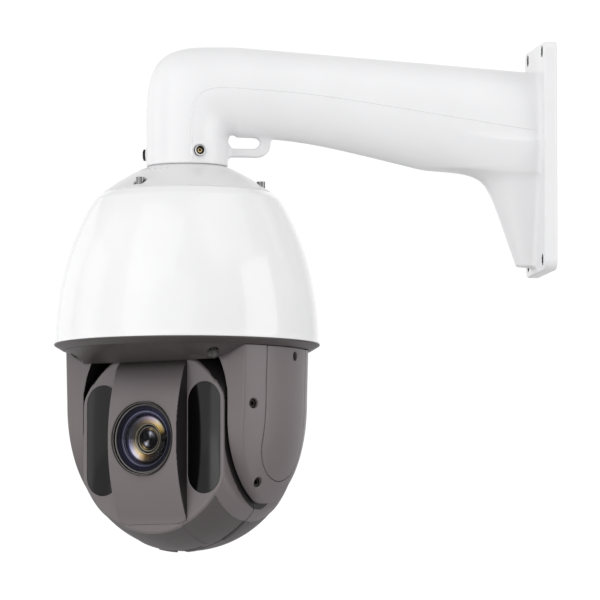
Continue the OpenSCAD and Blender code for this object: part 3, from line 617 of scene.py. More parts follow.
# ---------------- wall bracket
PLATE = (97.0, 193.0, 11.0, 9.0)   # width, height, thickness and corner radius
BOLTS = (35.0, 87.0, 4.5)          # half spacings and hole radius
EAR_HALF_T = 4.0
PIVOT = (-262.0, 8.0)          # the inside of the elbow's bend, as (y, z)
ELBOW_OUT = (76.0, 82.3)       # outer reach of the bend from the pivot, level and upright
ELBOW_IN = (8.0, 7.1)          # the same for its inner side
ELBOW_POWER = 4.4
ARM_TOP_Z = 90.3               # at the elbow; from there the top falls evenly to the wall
ARM_TOP_FALL = 0.0715
ARM_BOTTOM_Z = 15.6            # level up to ARM_BEND_Y, and then falling
ARM_BOTTOM_FALL = 0.235
ARM_BEND_Y = -215


def arm_top(y):
    return ARM_TOP_Z - ARM_TOP_FALL * (y - PIVOT[0])


def arm_bottom(y):
    return ARM_BOTTOM_Z - ARM_BOTTOM_FALL * soft_plus(y - ARM_BEND_Y, 20)


def arm_half_w(y):
    return COLLAR_R + 4 * smooth_step(y, -300, 10)


def elbow_reach(c, s):
    """How far the bend's outer and inner sides are from the pivot, in the direction (c, s)."""
    outer = ((c / ELBOW_OUT[0]) ** ELBOW_POWER + (s / ELBOW_OUT[1]) ** ELBOW_POWER) ** (-1 / ELBOW_POWER)
    return outer, ELBOW_IN[0] * c + ELBOW_IN[1] * s


def arm_field(x, y, z):
    """The collar, the elbow and the arm as one tube whose section changes along it."""
    dy, dz = y - PIVOT[0], z - PIVOT[1]
    collar = np.hypot(x, y + WALL_REACH) - COLLAR_R
    r = np.hypot(dy, dz) + 1e-6
    c, s = np.abs(dy) / r, np.abs(dz) / r
    outer, inner = elbow_reach(c, s)
    elbow = (np.hypot((r - (outer + inner) / 2) / ((outer - inner) / 2), x / COLLAR_R) - 1) * COLLAR_R
    top, bottom = arm_top(y), arm_bottom(y)
    n = 2 + 0.3 * smooth_step(y, PIVOT[0], -120)
    half = (top - bottom) / 2
    arm = (power_norm((z - (top + bottom) / 2) / half, x / arm_half_w(y), n) - 1) * half
    below = dz < 0
    before = dy < 0
    d = np.where(before, np.where(below, collar, elbow), np.where(below, np.minimum(collar, arm), arm))
    return smooth_max(d, COLLAR_Z - z, 1.5)


def gusset_field(x, y, z):
    """The rib under the arm, whose nose narrows towards the plate's foot."""
    half = np.maximum(12 + 0.27 * (z + 88), 6)
    nose = 27.5 + 0.34 * (z + 88.8) + 2 * np.exp(np.clip((z + 25) / 8, -8, 2))
    nose = np.maximum(nose, 6)
    d = (power_norm(x / half, y / nose, 2.8) - 1) * np.minimum(half, nose)
    return smooth_max(d, slab(z, -90.6, 10), 1.6)


def ear_field(x, y, z):
    """The open lug under the arm, beside the collar, for a safety cord."""
    tab = smooth_min(round_rect(y + 263, z - 10.5, 18, 12, 2), np.hypot(y + 245.5, z - 9.5) - 11, 1)
    ear = smooth_max(tab, -round_rect(y + 257.1, z - 20, 13.9, 14.5, 6.2), 1.5)
    return smooth_max(ear, np.abs(x) - EAR_HALF_T, 2)


def cable_way(x, y, z):
    """The hollow that runs through the arm from the wall plate, and down through the collar."""
    half = 26 + 12 * smooth_step(y, -302, 0)
    centre = 54 - 28 * (y + 302) / 303
    way = (np.hypot((z - centre) / half, x / (half * 0.86)) - 1) * half * 0.86
    way = smooth_max(way, slab(y, -WALL_REACH, 5), 1)
    return np.minimum(way, np.maximum(np.hypot(x, y + WALL_REACH) - 24.2, slab(z, -20, 55)))


def bracket_field(x, y, z):
    plate = smooth_max(round_rect(x, z, PLATE[0] / 2, PLATE[1] / 2, PLATE[3]), slab(y, -PLATE[2], 0), 2.4)
    body = smooth_min(arm_field(x, y, z), gusset_field(x, y, z), 12)
    body = smooth_max(body, y + 4, 1)
    body = smooth_min(body, ear_field(x, y, z), 5)
    for az in COLLAR_SCREW_AZ:
        a = math.radians(az)
        out = (math.sin(a), -math.cos(a))
        along = x * out[0] + (y + WALL_REACH) * out[1]
        across = x * out[1] - (y + WALL_REACH) * out[0]
        ring = np.hypot(across, z - COLLAR_SCREW_Z)
        boss = smooth_max(ring - 6.6, slab(along, 26, 34.5), 1)
        body = smooth_min(body, boss, 1.6)
        body = smooth_max(body, -smooth_max(ring - 3.1, slab(along, 10, 60), 0.5), 0.6)
    body = smooth_min(body, plate, 6)
    body = smooth_max(body, -cable_way(x, y, z), 1.2)
    bolts = np.hypot(np.abs(x) - BOLTS[0], np.abs(z) - BOLTS[1]) - BOLTS[2]
    return smooth_max(body, -bolts, 1.2)


def bolt_hole_painted_shade(x, y, z, nx, ny, nz):
    """The walls of the four bolt holes, painted black as their shadow."""
    return (np.hypot(np.abs(x) - BOLTS[0], np.abs(z) - BOLTS[1]) < BOLTS[2] + 0.4) & (np.abs(ny) < 0.5)


def make_bracket():
    obj = field_object("bracket_casting", bracket_field, (-51, -341, -99), (51, 2, 94), STEP, WORLD)
    piece(obj, "white_paint", "mount_body", "bracket_arm")
    # The bolt holes' walls take the black rubber finish as painted shade.
    second_finish(obj, ("seal_rubber", bolt_hole_painted_shade), axes=WORLD)


def make_collar_screws():
    """Clamp screws: each a pale flange round a dark socket with a brass seat at its foot, with a painted
    glint on some sides.
    """
    outline = [(0, 1, 0), (2.9, 1, 0), (2.9, 10.3, 0), (4.8, 10.3, 0), (4.8, 12.8, 0.5),
               (3.6, 13, 0.3), (3.3, 12.3, 0.2), (3.1, 10.9, 0.2), (2.1, 10.9, 0),
               (1.9, 11.6, 0.1), (1.1, 11.6, 0.1), (0.9, 11.0, 0), (0, 11.0, 0)]
    for k, az in enumerate(COLLAR_SCREW_AZ):
        obj = turned("collar_screw_%d" % (k + 1), rounded(outline, 3), WORLD, 64)
        outwards = on_pan_axis(COLLAR_SCREW_Z) @ turn(az, "Z") @ turn(90, "X")
        obj.matrix_world = outwards @ Matrix.Translation((0, 0, COLLAR_SCREW_OUT * MM))
        piece(obj, "collar_screw", "mount_body", "collar_screws", finish="socket_screw")


def make_parting_line():
    """A fine raised line where the two halves of the bracket's mould met, on both sides."""
    path = [(-WALL_REACH, float(z), COLLAR_R) for z in np.linspace(COLLAR_Z + 2, PIVOT[1], 8)]
    for a in np.linspace(math.pi, math.pi / 2, 25)[1:]:
        r = sum(elbow_reach(abs(math.cos(a)), math.sin(a))) / 2
        path.append((PIVOT[0] + r * math.cos(a), PIVOT[1] + r * math.sin(a), COLLAR_R))
    for y in np.linspace(-255, -15, 40):
        path.append((float(y), float(arm_top(y) + arm_bottom(y)) / 2, float(arm_half_w(y))))
    for side in (-1, 1):
        curve = bpy.data.curves.new("parting_line", "CURVE")
        curve.dimensions = "3D"
        curve.bevel_depth = 0.0006
        curve.bevel_resolution = 2
        curve.use_fill_caps = True
        spline = curve.splines.new("POLY")
        spline.points.add(len(path) - 1)
        for point, (y, z, x) in zip(spline.points, path):
            point.co = ((x - 0.1) * side * MM, y * MM, z * MM, 1)
        obj = add_object("parting_line_" + ("right" if side > 0 else "left"), curve)
        piece(obj, "white_paint", "mount_body")


# ---------------- dome housing
def oval_r(h):
    """The shell's radius at a height over its rim."""
    return (RIM_R - 0.9) * np.sqrt(1 - (h / OVAL_H) ** 2)


def cone_h(r):
    """The cap's height over the shell's rim, from the collar out to the shoulder."""
    u = (r - COLLAR_R) / (oval_r(SHOULDER_H) - COLLAR_R)
    return DOME_H + (SHOULDER_H - DOME_H) * u + 9 * u * (1 - u)


def make_shell():
    outer = [(RIM_R - 3.4, 0.8, 0), (RIM_R, 0.8, 0.6), (RIM_R, 1.8, 0.5)]
    outer += [(float(oval_r(h)), float(h), 0) for h in np.linspace(4.6, SHOULDER_H - 6, 40)]
    outer += [(float(oval_r(SHOULDER_H)), SHOULDER_H, 9)]
    outer += [(CAP_R + 0.4, float(cone_h(CAP_R + 0.4)), 0.5), (CAP_R + 0.4, CAP_EDGE_H - 3.4, 0),
              (CAP_R - 12, CAP_EDGE_H - 3.4, 0), (CAP_R - 12, CAP_EDGE_H - 6.4, 0),
              (CAP_R - 1, CAP_EDGE_H - 6.4, 0)]
    outer += [(float(oval_r(h)) - 3, float(h), 0) for h in np.linspace(SHOULDER_H - 3, 4.6, 24)]
    obj = turned("dome_shell", rounded(outer, 10), DOME, 256)
    piece(obj, "white_paint", "mount_body", "upper_shell", finish="shell_paint")


def cap_field(x, y, z):
    r = np.hypot(x, y)
    slope = 0.8
    d = smooth_max((z - cone_h(r)) * slope, (cone_h(r) - 3 - z) * slope, 0.8)
    d = smooth_max(d, r - CAP_R, 0.9)
    d = np.maximum(d, 24.3 - r)
    rim = np.maximum(slab(r, CAP_R - 2, CAP_R), slab(z, CAP_EDGE_H - 2.4, CAP_EDGE_H + 0.5))
    d = smooth_min(d, rim, 0.5)
    for az in CAP_SCREW_AZ:
        a = math.radians(az - HEAD_AZ)
        ring = np.hypot(x - CAP_SCREW_RING * math.sin(a), y + CAP_SCREW_RING * math.cos(a))
        seat = smooth_max(ring - 5.2, slab(z, CAP_SEAT_H - 3, CAP_SEAT_H), 0.5)
        pocket = smooth_max(ring - 5.4, CAP_SEAT_H - z, 0.5)
        d = np.minimum(smooth_max(d, -pocket, 0.9), seat)
        d = np.maximum(d, 2.1 - ring)
    return smooth_min(d, tick_field(x, y, z), 0.4)


def tick_field(x, y, z):
    """Six small slanted ticks cast on the cap beside the collar."""
    d = np.full(np.broadcast(x, y, z).shape, 9.0)
    for k in range(6):
        a = math.radians(20 + 8 * k - HEAD_AZ)
        out = x * math.sin(a) - y * math.cos(a)
        side = x * math.cos(a) + y * math.sin(a)
        u, v = out - 42.3, side
        c, s = math.cos(0.55), math.sin(0.55)
        bar = round_rect(c * u + s * v, c * v - s * u, 2.2, 0.55, 0.4)
        d = np.minimum(d, smooth_max(bar, slab(z - cone_h(out), -1, 0.55), 0.4))
    return d


def make_cap():
    obj = field_object("dome_cap", cap_field, (-71, -71, 121), (71, 71, 150), STEP * 0.6, DOME)
    piece(obj, "white_paint", "mount_body", "top_cap", finish="cap_paint")


def make_trim_ring():
    outline = [(101.4, -RING_DROP, 0.3), (103, -RING_DROP, 0.6), (RIM_R - 0.6, -0.6, 0.5), (RIM_R, 0, 0.2),
               (RIM_R, 0.7, 0), (RIM_R - 3.6, 0.7, 0), (RIM_R - 4.6, 6, 0), (101.4, 6, 0)]
    piece(turned("trim_band", rounded(outline, 4), DOME, 256), "trim_grey", "mount_body", "trim_ring")


# ---------------- camera head
def stadium(x, z, width, height):
    return np.hypot(x, np.maximum(np.abs(z) - (height - width) / 2, 0)) - width / 2


def raised(v, half):
    """1 over a strip of the given half width, with soft edges."""
    return 1 - smooth_step(np.abs(v), half, half + 0.8)


def relief(x, f, z):
    """How far the ball's skin stands proud: cheek discs, a stepped belt and small pads under the seam."""
    cheek = np.hypot(f, z)
    up = 0.9 * (1 - smooth_step(cheek, 66.6, 67.6)) * smooth_step(np.abs(x), 50, 54)
    low = z < 0
    belt = raised(x, 28) * smooth_step(f, 12, 12.8) * low
    pad = raised(np.abs(x) - 49.5, 10.6) * raised(f - 0.5, 3.6) * low
    foot = raised(np.abs(x) - 13, 7.6) * raised(f - 7.8, 2.4) * low
    return np.maximum(np.maximum(up, 0.8 * belt), 1.4 * np.maximum(pad, foot))


def ball_form(x, y, z, inset, k):
    f = -y
    proud = relief(x, f, z) if inset == 0 else 0
    ball = np.sqrt(x * x + y * y + z * z) - (BALL_R + proud - inset)
    tilt = math.radians(CROWN_BACK)
    crown = np.minimum(np.hypot(y, z) - (CROWN_R - inset), inset - math.sin(tilt) * y - math.cos(tilt) * z)
    d = smooth_max(ball, crown, k)
    d = smooth_max(d, np.abs(x) - (BALL_HALF_W - inset), k)
    return smooth_max(d, f - (FACE_F - inset), k * 0.6)


def skin(x, y, z):
    return smooth_max(ball_form(x, y, z, 0, 2.0), -ball_form(x, y, z, BALL_T, 1.0), 0.8)


def trunnion_holes(x, y, z):
    return np.maximum(np.hypot(y, z) - 8.4, 45 - np.abs(x))


def front_shell_field(x, y, z):
    f = -y
    d = smooth_max(skin(x, y, z), SEAM_F - f, 0.8)
    window = stadium(np.abs(x) - WINDOW_L, z - WINDOW_Z, WINDOW_W, WINDOW_H)
    d = smooth_max(d, -np.maximum(window, FACE_F - 2 - f), 0.8)
    d = smooth_max(d, -np.maximum(window + 1.5, -f), 0.5)
    d = smooth_max(d, -np.maximum(round_rect(x, z, 30.5, 56, 1), 20 - f), 0.5)
    return smooth_max(d, -trunnion_holes(x, y, z), 0.5)


def rear_shell_field(x, y, z):
    f = -y
    d = smooth_max(skin(x, y, z), f - SEAM_F + SEAL_T, 0.8)
    post = np.hypot(np.abs(x) - 63, np.abs(z) - 40)
    d = smooth_min(d, np.maximum(np.maximum(post - 5, f - SEAM_F + SEAL_T), ball_form(x, y, z, 0.3, 1)), 0.6)
    d = smooth_max(d, -np.maximum(post - 1.8, -20 + y * 0), 0.3)
    d = smooth_max(d, -np.maximum(post - 3.4, 22 - y), 0.5)
    return smooth_max(d, -trunnion_holes(x, y, z), 0.5)


def column_field(x, y, z):
    f = -y
    arc_f = COLUMN_F - COLUMN_ARC_R
    arc = np.hypot(f - arc_f, z) - COLUMN_ARC_R
    front = smooth_min(arc, f - FACE_F - 0.12, 3)
    d = smooth_max(front, np.abs(x) - COLUMN_HALF_W, 1.0)
    d = smooth_max(d, np.where(z > 0, np.hypot(y, z) - (CROWN_R - 0.2), -20), 2.5)
    d = smooth_max(d, np.sqrt(x * x + y * y + z * z) - (BALL_R - 0.1), 1.2)
    foot = np.maximum(FACE_F - 6 - f, np.maximum(np.abs(x) - 30.3, np.abs(z) - 55.8))
    d = smooth_max(d, np.minimum(FACE_F - f, foot), 0.5)
    ring = np.hypot(x, z)
    hollow = np.maximum(np.maximum(np.abs(x) - 29, np.abs(z) - 54), arc + 3.5)
    hollow = np.maximum(hollow, BEZEL_R + 2 - ring)
    d = smooth_max(d, -hollow, 0.5)
    d = smooth_max(d, 27.4 - ring, 0.4)
    return smooth_max(d, -np.maximum(ring - BEZEL_R - 0.12, COLUMN_F - 3.4 - f), 0.3)


def second_finish(obj, *pairs, axes=HEAD):
    """Gives the faces for which where(centre, normal) is true another finish, for each (finish, where) pair
    in turn. Centres and normals are along the given axes, in mm."""
    back = axes.inverted()
    rotate = back.to_3x3()
    centres = np.array([back @ p.center for p in obj.data.polygons]).T / MM
    normals = np.array([rotate @ p.normal for p in obj.data.polygons]).T
    index = np.zeros(len(obj.data.polygons), np.int32)
    for finish, where in pairs:
        obj.data.materials.append(FINISH[finish])
        index[where(*centres, *normals)] = len(obj.data.materials) - 1
    obj.data.polygons.foreach_set("material_index", index)


def on_crown(x, y, z, nx, ny, nz):
    """The drum between the head's sides, painted dark as its shadow under the visor."""
    return (np.hypot(y, z) < CROWN_R + 0.4) & (np.hypot(ny, nz) > 0.9) & (z > 0) & (-y < FACE_F - 2.2)


def on_brow(x, y, z, nx, ny, nz):
    """The top of the ball, in the visor's shadow, and its back, both painted dark as shade."""
    return ((z > 20) | (y > 30)) & (np.hypot(y, z) > 62) & (-y < FACE_F - 1.6)


def on_cheek(x, y, z, nx, ny, nz):
    """The head's sides, painted dark as the yokes' shadow."""
    return (np.abs(x) > 55) & (np.abs(nx) > 0.5) & (-y < FACE_F - 1.2) & (yoke_outline(-y, z) < 4.5)


def on_belly(x, y, z, nx, ny, nz):
    """The band of the ball between its cheeks, behind the front face."""
    return (np.hypot(y, z) > 67.3) & (-y < FACE_F - 1.6)


def on_gap(x, y, z, nx, ny, nz):
    """The yoke's faces that look inwards at the ball, painted dark as the gap's shade."""
    return (np.abs(x) < YOKE_IN + 3) & (nx * np.sign(x) < -0.55) | ((np.abs(x) < YOKE_IN) & (nz < -0.5))


# The belly's darker grey, then painted shade on the crown, the brow and the cheeks.
HEAD_BELLY_AND_PAINTED_SHADE = (("belly_grey", on_belly), ("column_side", on_crown),
                 ("column_side", on_brow), ("column_side", on_cheek))


def make_head():
    fine = STEP * 0.8
    half = BALL_HALF_W + 2
    box = (-half, -FACE_F - 2, -93), (half, -SEAM_F + 1, 85)
    front = field_object("head_front", front_shell_field, *box, fine, HEAD)
    box = (-half, -SEAM_F - 1, -93), (half, 93, 86)
    rear = field_object("head_rear", rear_shell_field, *box, fine, HEAD)
    for obj, node in ((front, "front_shell"), (rear, "rear_shell")):
        piece(obj, "head_grey", "camera_head", node)
        second_finish(obj, *HEAD_BELLY_AND_PAINTED_SHADE)
    box = (-35, -COLUMN_F - 2, -75), (35, -FACE_F + 8, 75)
    # The lens cover's paint carries a painted shadow of the visor.
    obj = piece(field_object("lens_column_cover", column_field, *box, STEP * 0.6, HEAD),
                "head_grey", "camera_head", "lens_column", finish="column_painted_shadow")
    # The lens cover's side walls take the near-black finish.
    second_finish(obj, ("column_side", lambda x, y, z, nx, ny, nz: np.abs(nx) > 0.86))
    for side, node in ((1, "ir_window_right"), (-1, "ir_window_left")):
        make_window(side, node)


def plate_stack(name, outline, levels, place):
    """A closed plate from a convex outline: one ring of points per (inset, height) level."""
    bm = bmesh.new()
    rings = []
    n = len(outline)
    for inset, height in levels:
        ring = []
        for i, (u, v) in enumerate(outline):
            a, b = Vector(outline[i - 1]), Vector(outline[(i + 1) % n])
            along = (b - a).normalized()
            ring.append(bm.verts.new(((u - along.y * inset) * MM, (v + along.x * inset) * MM, height * MM)))
        rings.append(ring)
    for low, high in zip(rings, rings[1:]):
        for i in range(n):
            bm.faces.new((low[i], low[(i + 1) % n], high[(i + 1) % n], high[i]))
    bm.faces.new(reversed(rings[0]))
    bm.faces.new(rings[-1])
    return solid_object(name, bm, place, 30)


def make_window(side, node):
    """An infrared window: a plate with half-round ends and a bevelled edge."""
    r = WINDOW_W / 2 - 0.1
    rise = (WINDOW_H - WINDOW_W) / 2
    outline = [(r * math.cos(a) + side * WINDOW_L, r * math.sin(a) + WINDOW_Z + end * rise)
               for end, start in ((1, 0), (-1, math.pi)) for a in np.linspace(start, start + math.pi, 49)]
    levels = [(0, FACE_F - 2), (0, FACE_F - 0.75), (0.1, FACE_F - 0.58), (0.3, FACE_F - 0.5)]
    obj = plate_stack("window_" + ("right" if side > 0 else "left"), outline, levels, EYE)
    piece(obj, "ir_window", "camera_head", node)


# ---------------- yokes
YOKE_KNEE = (100.1, 33.0)                     # radius and height where the side starts to curve in
YOKE_TOP = (101.2, TILT_DROP - RING_DROP)
YOKE_ARC_R = 200
YOKE_SCREWS = ((67.3, 27.3), (75.9, -36.3))   # azimuth and height of each
SCREW_R = 4.1
PLUG = (96.1, 68)
PLUG_R = 3.7


def yoke_r(z):
    """The radius of a yoke's outer side at a height."""
    low = YOKE_KNEE[0] - YOKE_ARC_R + np.sqrt(YOKE_ARC_R ** 2 - np.minimum(z - YOKE_KNEE[1], 0) ** 2)
    slope = (YOKE_TOP[0] - YOKE_KNEE[0]) / (YOKE_TOP[1] - YOKE_KNEE[1])
    return low + slope * np.maximum(z - YOKE_KNEE[1], 0)


def yoke_side(x, y, z):
    r = np.hypot(x, y)
    low = np.hypot(r - YOKE_KNEE[0] + YOKE_ARC_R, z - YOKE_KNEE[1]) - YOKE_ARC_R
    return np.where(z > YOKE_KNEE[1], r - yoke_r(z), low)


def yoke_outline(f, z):
    """A yoke seen from the side: upright edges that curve in to a short flat foot."""
    arc = np.hypot(np.abs(f) + YOKE_SIDE_R - YOKE_HALF_F, np.minimum(z - YOKE_TURN_T, 0)) - YOKE_SIDE_R
    return smooth_max(arc, -YOKE_FOOT - z, 2)


def u_outline(f, z, half, end_t):
    return np.hypot(f, np.minimum(z - end_t, 0)) - half


def side_holes(x, y, z, grow):
    """Screw holes in a yoke's side and the small plug hole near its top."""
    d = np.full(np.broadcast(x, y, z).shape, 99.0)
    for spot, radius, depth in [(s, SCREW_R, 7.0) for s in YOKE_SCREWS] + [(PLUG, PLUG_R, 8.5)]:
        a = math.radians(spot[0])
        across = x * math.cos(a) + y * math.sin(a)
        along = x * math.sin(a) - y * math.cos(a)
        hole = np.hypot(across, z - spot[1]) - radius - grow
        d = np.minimum(d, np.maximum(hole, float(yoke_r(spot[1])) - depth - along))
    return d


def yoke_field(x, y, z):
    f = -y
    side = yoke_side(x, y, z)
    d = smooth_max(side, z - YOKE_TOP[1] + 0.1, 0.6)
    d = np.minimum(d, np.maximum(np.hypot(x, y) - 99, slab(z, YOKE_TOP[1] - 3, TILT_DROP + 13.9)))
    d = smooth_max(d, yoke_outline(f, z), 1.1)
    d = smooth_max(d, 42 - x, 0.5)
    arch = np.where(z > ARCH_T, np.hypot(x, z - ARCH_T), np.abs(x)) - YOKE_IN
    d = smooth_max(d, -arch, 0.9)
    d = smooth_max(d, -np.maximum(np.sqrt(x * x + y * y + z * z) - 94.5, x - YOKE_IN), 0.8)
    cover = np.maximum(u_outline(f - COVER_F, z, COVER_HALF_F, COVER_END_T), z - YOKE_TOP[1] + 0.2)
    d = smooth_max(d, -np.maximum(cover, -side - 3), 0.6)
    cavity = np.maximum(np.maximum(u_outline(f, z, 24, -7), 75 - x), z - 66)
    cavity = np.maximum(cavity, -np.maximum(np.hypot(y, z) - 18, x - 78))
    d = smooth_max(d, -cavity, 0.5)
    d = smooth_max(d, -np.maximum(np.hypot(y, z) - 14.05, slab(x, 70, 77.6)), 0.3)
    d = smooth_max(d, 9 - np.hypot(y, z), 0.3)
    return smooth_max(d, -side_holes(x, y, z, 0), 0.7)


def cover_field(x, y, z):
    side = yoke_side(x, y, z)
    outline = u_outline(-y - COVER_F, z, COVER_HALF_F - 0.35, COVER_END_T)
    d = smooth_max(np.maximum(outline, z - YOKE_TOP[1] + 0.4), side, 0.7)
    d = smooth_max(d, -side - 2.9, 0.5)
    d = np.maximum(d, 50 - x)
    a = math.radians(PLUG[0])
    hole = np.hypot(x * math.cos(a) + y * math.sin(a), z - PLUG[1]) - PLUG_R
    return smooth_max(d, -np.maximum(hole, -x), 0.7)


def on_side(low, high, side):
    """A box's two corners, mirrored for the left side."""
    return (low, high) if side > 0 else ((-high[0], *low[1:]), (-low[0], *high[1:]))


def make_yokes():
    for side, word in ((1, "right"), (-1, "left")):
        def yoke(x, y, z):
            return yoke_field(x * side, y, z)

        def cover(x, y, z):
            return cover_field(x * side, y, z)

        box = on_side((40, -49, -56), (104, 49, 95), side)
        obj = field_object("yoke_arm_" + word, yoke, *box, STEP * 0.8, HEAD)
        piece(obj, "head_grey", "pan_head", "yoke_" + word)
        # The yoke's inner faces are painted dark as the shade in the gap.
        second_finish(obj, ("column_side", on_gap))
        box = on_side((70, -29, -38), (103, 37, 77), side)
        obj = field_object("yoke_panel_" + word, cover, *box, STEP * 0.6, HEAD)
        piece(obj, "head_grey", "pan_head", "yoke_cover_" + word)


# ---------------- lens
def lens_turned(name, corners, segments, slot, finish, *replaced):
    """A turned piece whose own origin is on the lens axis, where its finish is centred."""
    outline = rounded([(r, COLUMN_F + h, k) for r, h, k in corners], segments)
    obj = turned(name, outline, WORLD, 160)
    obj.matrix_world = EYE
    return piece(obj, slot, "camera_head", *replaced, finish=finish)


def make_lens():
    """The lens's turned parts. Corners are (radius, height, rounding), from the lens cover's front."""
    bezel = [(27.1, -3.6, 0), (BEZEL_R, -3.6, 0), (BEZEL_R, 0.2, 0.3), (30.0, 0.45, 0.2),
             (29.7, 0.1, 0.15), (29.6, -1.3, 0.1), (29.4, -1.3, 0), (29.35, -0.8, 0.1),
             (29.05, -0.8, 0.1), (28.9, -1.6, 0), (28.4, -3.0, 0), (28.1, -3.0, 0),
             (28.0, -2.5, 0.1), (27.6, -2.5, 0.1), (27.4, -3.3, 0), (27.1, -3.4, 0)]
    lens_turned("lens_ring", bezel, 3, "head_grey", "bezel", "lens_bezel")
    barrel = [(9, -62, 0), (27, -62, 0), (27.0, -3.3, 0.1), (26.4, -3.3, 0.1), (26.2, -3.9, 0.1),
              (25.6, -3.9, 0.1), (25.4, -4.5, 0.1), (24.8, -4.5, 0.1), (24.6, -5.2, 0.1),
              (24.0, -5.2, 0), (24.0, -12, 0), (20.5, -12, 0), (20.5, -46, 0), (9, -46, 0)]
    lens_turned("lens_tube", barrel, 2, "barrel_black", "step_black", "lens_barrel")
    ring = [(20.9, -11.8, 0), (23.9, -11.8, 0), (23.9, -5.2, 0.2), (23.3, -4.8, 0.2),
            (23.0, -5.5, 0.1), (22.7, -5.5, 0.1), (22.5, -5.2, 0.1), (22.2, -5.4, 0.1),
            (22.0, -6.2, 0.1), (21.6, -6.0, 0.1), (21.3, -6.4, 0.1), (20.9, -7.4, 0)]
    lens_turned("front_retainer", ring, 3, "lens_glass", "retainer")
    # The cone's white, lavender and gold are painted reflections.
    cone = [(12.2, -11.9, 0), (20.8, -11.9, 0), (20.8, -6.9, 0), (19.6, -7.5, 0.3),
            (16.5, -8.4, 2), (12.9, -9.2, 0.2), (12.2, -9.4, 0)]
    lens_turned("lens_cone", cone, 3, "lens_glass", "cone_painted_sheen")
    rim = [(12.1, -11.8, 0), (12.6, -11.8, 0), (12.6, -8.8, 0.1), (12.35, -8.6, 0.1), (12.1, -8.8, 0.1)]
    lens_turned("inner_rim", rim, 3, "lens_glass", "gold_rim")
    rim = [(9.75, -11.8, 0), (10.1, -11.8, 0), (10.1, -9.7, 0.1), (9.9, -9.5, 0.1), (9.75, -9.7, 0.1)]
    lens_turned("second_rim", rim, 3, "lens_glass", "gold_rim")
    cup = [(0, -11.9, 0), (11.8, -11.9, 0), (11.8, -10.4, 0.1), (10.4, -10.8, 0.2),
           (9.4, -10.8, 0.3), (5, -11.0, 2), (0, -11.4, 0)]
    lens_turned("inner_cup", cup, 4, "lens_glass", "cup_black")
    glass = [(0, -7.2, 0), (20.8, -6.6, 0)]
    glass += [(r, -4.9 - 0.004 * r * r, 0) for r in np.linspace(20.8, 0, 20)]
    lens_turned("front_glass", glass, 3, "lens_glass", "clear_glass", "front_element")


# ---------------- studio
ROOM = 0.66                        # the room's brightness away from the white wall
WHITE_WALL = (-0.99, 0.13, 0.08)   # the way to the white wall behind the object
WHITE = 1.03
WALL_EDGE = (0.80, 0.97)           # the cosines between which the room turns into the wall
FLOOR_Z = -0.9
VIEW = (82.5, -4.4)                # the camera's azimuth and elevation from its target
TARGET = (0.012, -0.211, -0.121)
DISTANCE = 5.0
LENS = 361.4
SENSOR_W = 36
LIT_CENTRE = (0.0, -0.28, -0.15)
# name, azimuth, elevation, distance in m, width and height in m, watts
LIGHTS = (
    ("left_softbox", 14, 12, 1.9, 2.6, 2.4, 5.3),
    ("left_panel", -15, 6, 1.9, 1.0, 1.6, 1.9),
    ("left_back_panel", -50, 6, 1.9, 1.0, 1.6, 2.2),
    ("front_panel", 41, 3, 1.9, 1.0, 1.6, 4.2),
    ("front_low", 45, -18, 1.7, 1.2, 0.8, 3.0),
    ("front_high", 48, 42, 1.7, 1.2, 1.0, 2.8),
    ("camera_panel", 71, 12, 2.4, 1.4, 1.4, 3.5),
    ("right_back_panel", 152, 4, 1.9, 1.1, 1.8, 9.0),
    ("top_right", 130, 50, 1.8, 1.4, 1.2, 2.6),
)


def aim(obj, place, target):
    obj.location = place
    obj.rotation_euler = (Vector(target) - Vector(place)).to_track_quat("-Z", "Y").to_euler()


def area_light(name, place, target, size, power):
    data = bpy.data.lights.new(name, "AREA")
    data.shape = "RECTANGLE"
    data.size, data.size_y = size
    data.energy = power
    aim(add_object(name, data), place, target)


def around(azimuth, elevation, distance, centre):
    a, e = math.radians(azimuth), math.radians(elevation)
    way = Vector((math.sin(a) * math.cos(e), -math.cos(a) * math.cos(e), math.sin(e)))
    return Vector(centre) + way * distance


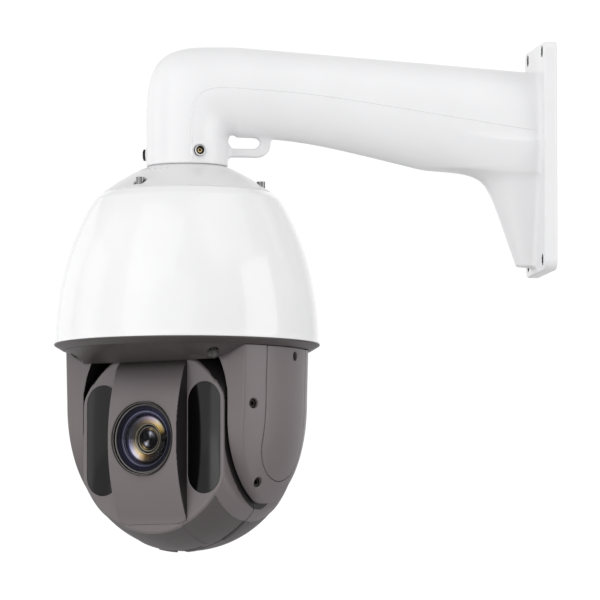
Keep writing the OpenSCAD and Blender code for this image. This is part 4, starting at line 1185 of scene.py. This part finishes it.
def make_world():
    """A pale room: white behind the object, a little darker above, beside and below."""
    world = bpy.data.worlds.new("studio")
    world.use_nodes = True
    tree = world.node_tree
    back = tree.nodes["Background"]
    back.inputs["Color"].default_value = (1, 1, 1, 1)
    coords = tree.nodes.new("ShaderNodeTexCoord")
    dot = tree.nodes.new("ShaderNodeVectorMath")
    dot.operation = "DOT_PRODUCT"
    dot.inputs[1].default_value = WHITE_WALL
    tree.links.new(coords.outputs["Generated"], dot.inputs[0])
    ramp = tree.nodes.new("ShaderNodeMapRange")
    ramp.interpolation_type = "SMOOTHSTEP"
    ramp.inputs["From Min"].default_value = WALL_EDGE[0]
    ramp.inputs["From Max"].default_value = WALL_EDGE[1]
    ramp.inputs["To Min"].default_value = ROOM
    ramp.inputs["To Max"].default_value = WHITE
    tree.links.new(dot.outputs["Value"], ramp.inputs["Value"])
    tree.links.new(ramp.outputs["Result"], back.inputs["Strength"])
    bpy.context.scene.world = world


def make_floor():
    bm = bmesh.new()
    bmesh.ops.create_grid(bm, x_segments=8, y_segments=8, size=8)
    mesh = bpy.data.meshes.new("floor")
    bm.to_mesh(mesh)
    bm.free()
    mesh.transform(Matrix.Translation((0, 0, FLOOR_Z)))
    floor = add_object("floor", mesh)
    floor.data.materials.append(painted("floor_paint", (0.62, 0.62, 0.62), 0.7, peel_scale=40, peel=0.0001))


def make_lights():
    for name, azimuth, elevation, distance, width, height, watts in LIGHTS:
        place = around(azimuth, elevation, distance, LIT_CENTRE)
        area_light(name, place, LIT_CENTRE, (width, height), watts)


def make_camera():
    data = bpy.data.cameras.new("camera")
    data.lens = LENS
    data.sensor_width = SENSOR_W
    data.clip_end = 50
    obj = add_object("camera", data)
    aim(obj, around(*VIEW, DISTANCE, TARGET), TARGET)
    bpy.context.scene.camera = obj


bpy.context.scene.view_settings.view_transform = "Standard"
dress_cad()
make_bracket()
make_collar_screws()
make_parting_line()
make_shell()
make_cap()
make_trim_ring()
make_head()
make_yokes()
make_lens()
make_world()
make_floor()
make_lights()
make_camera()
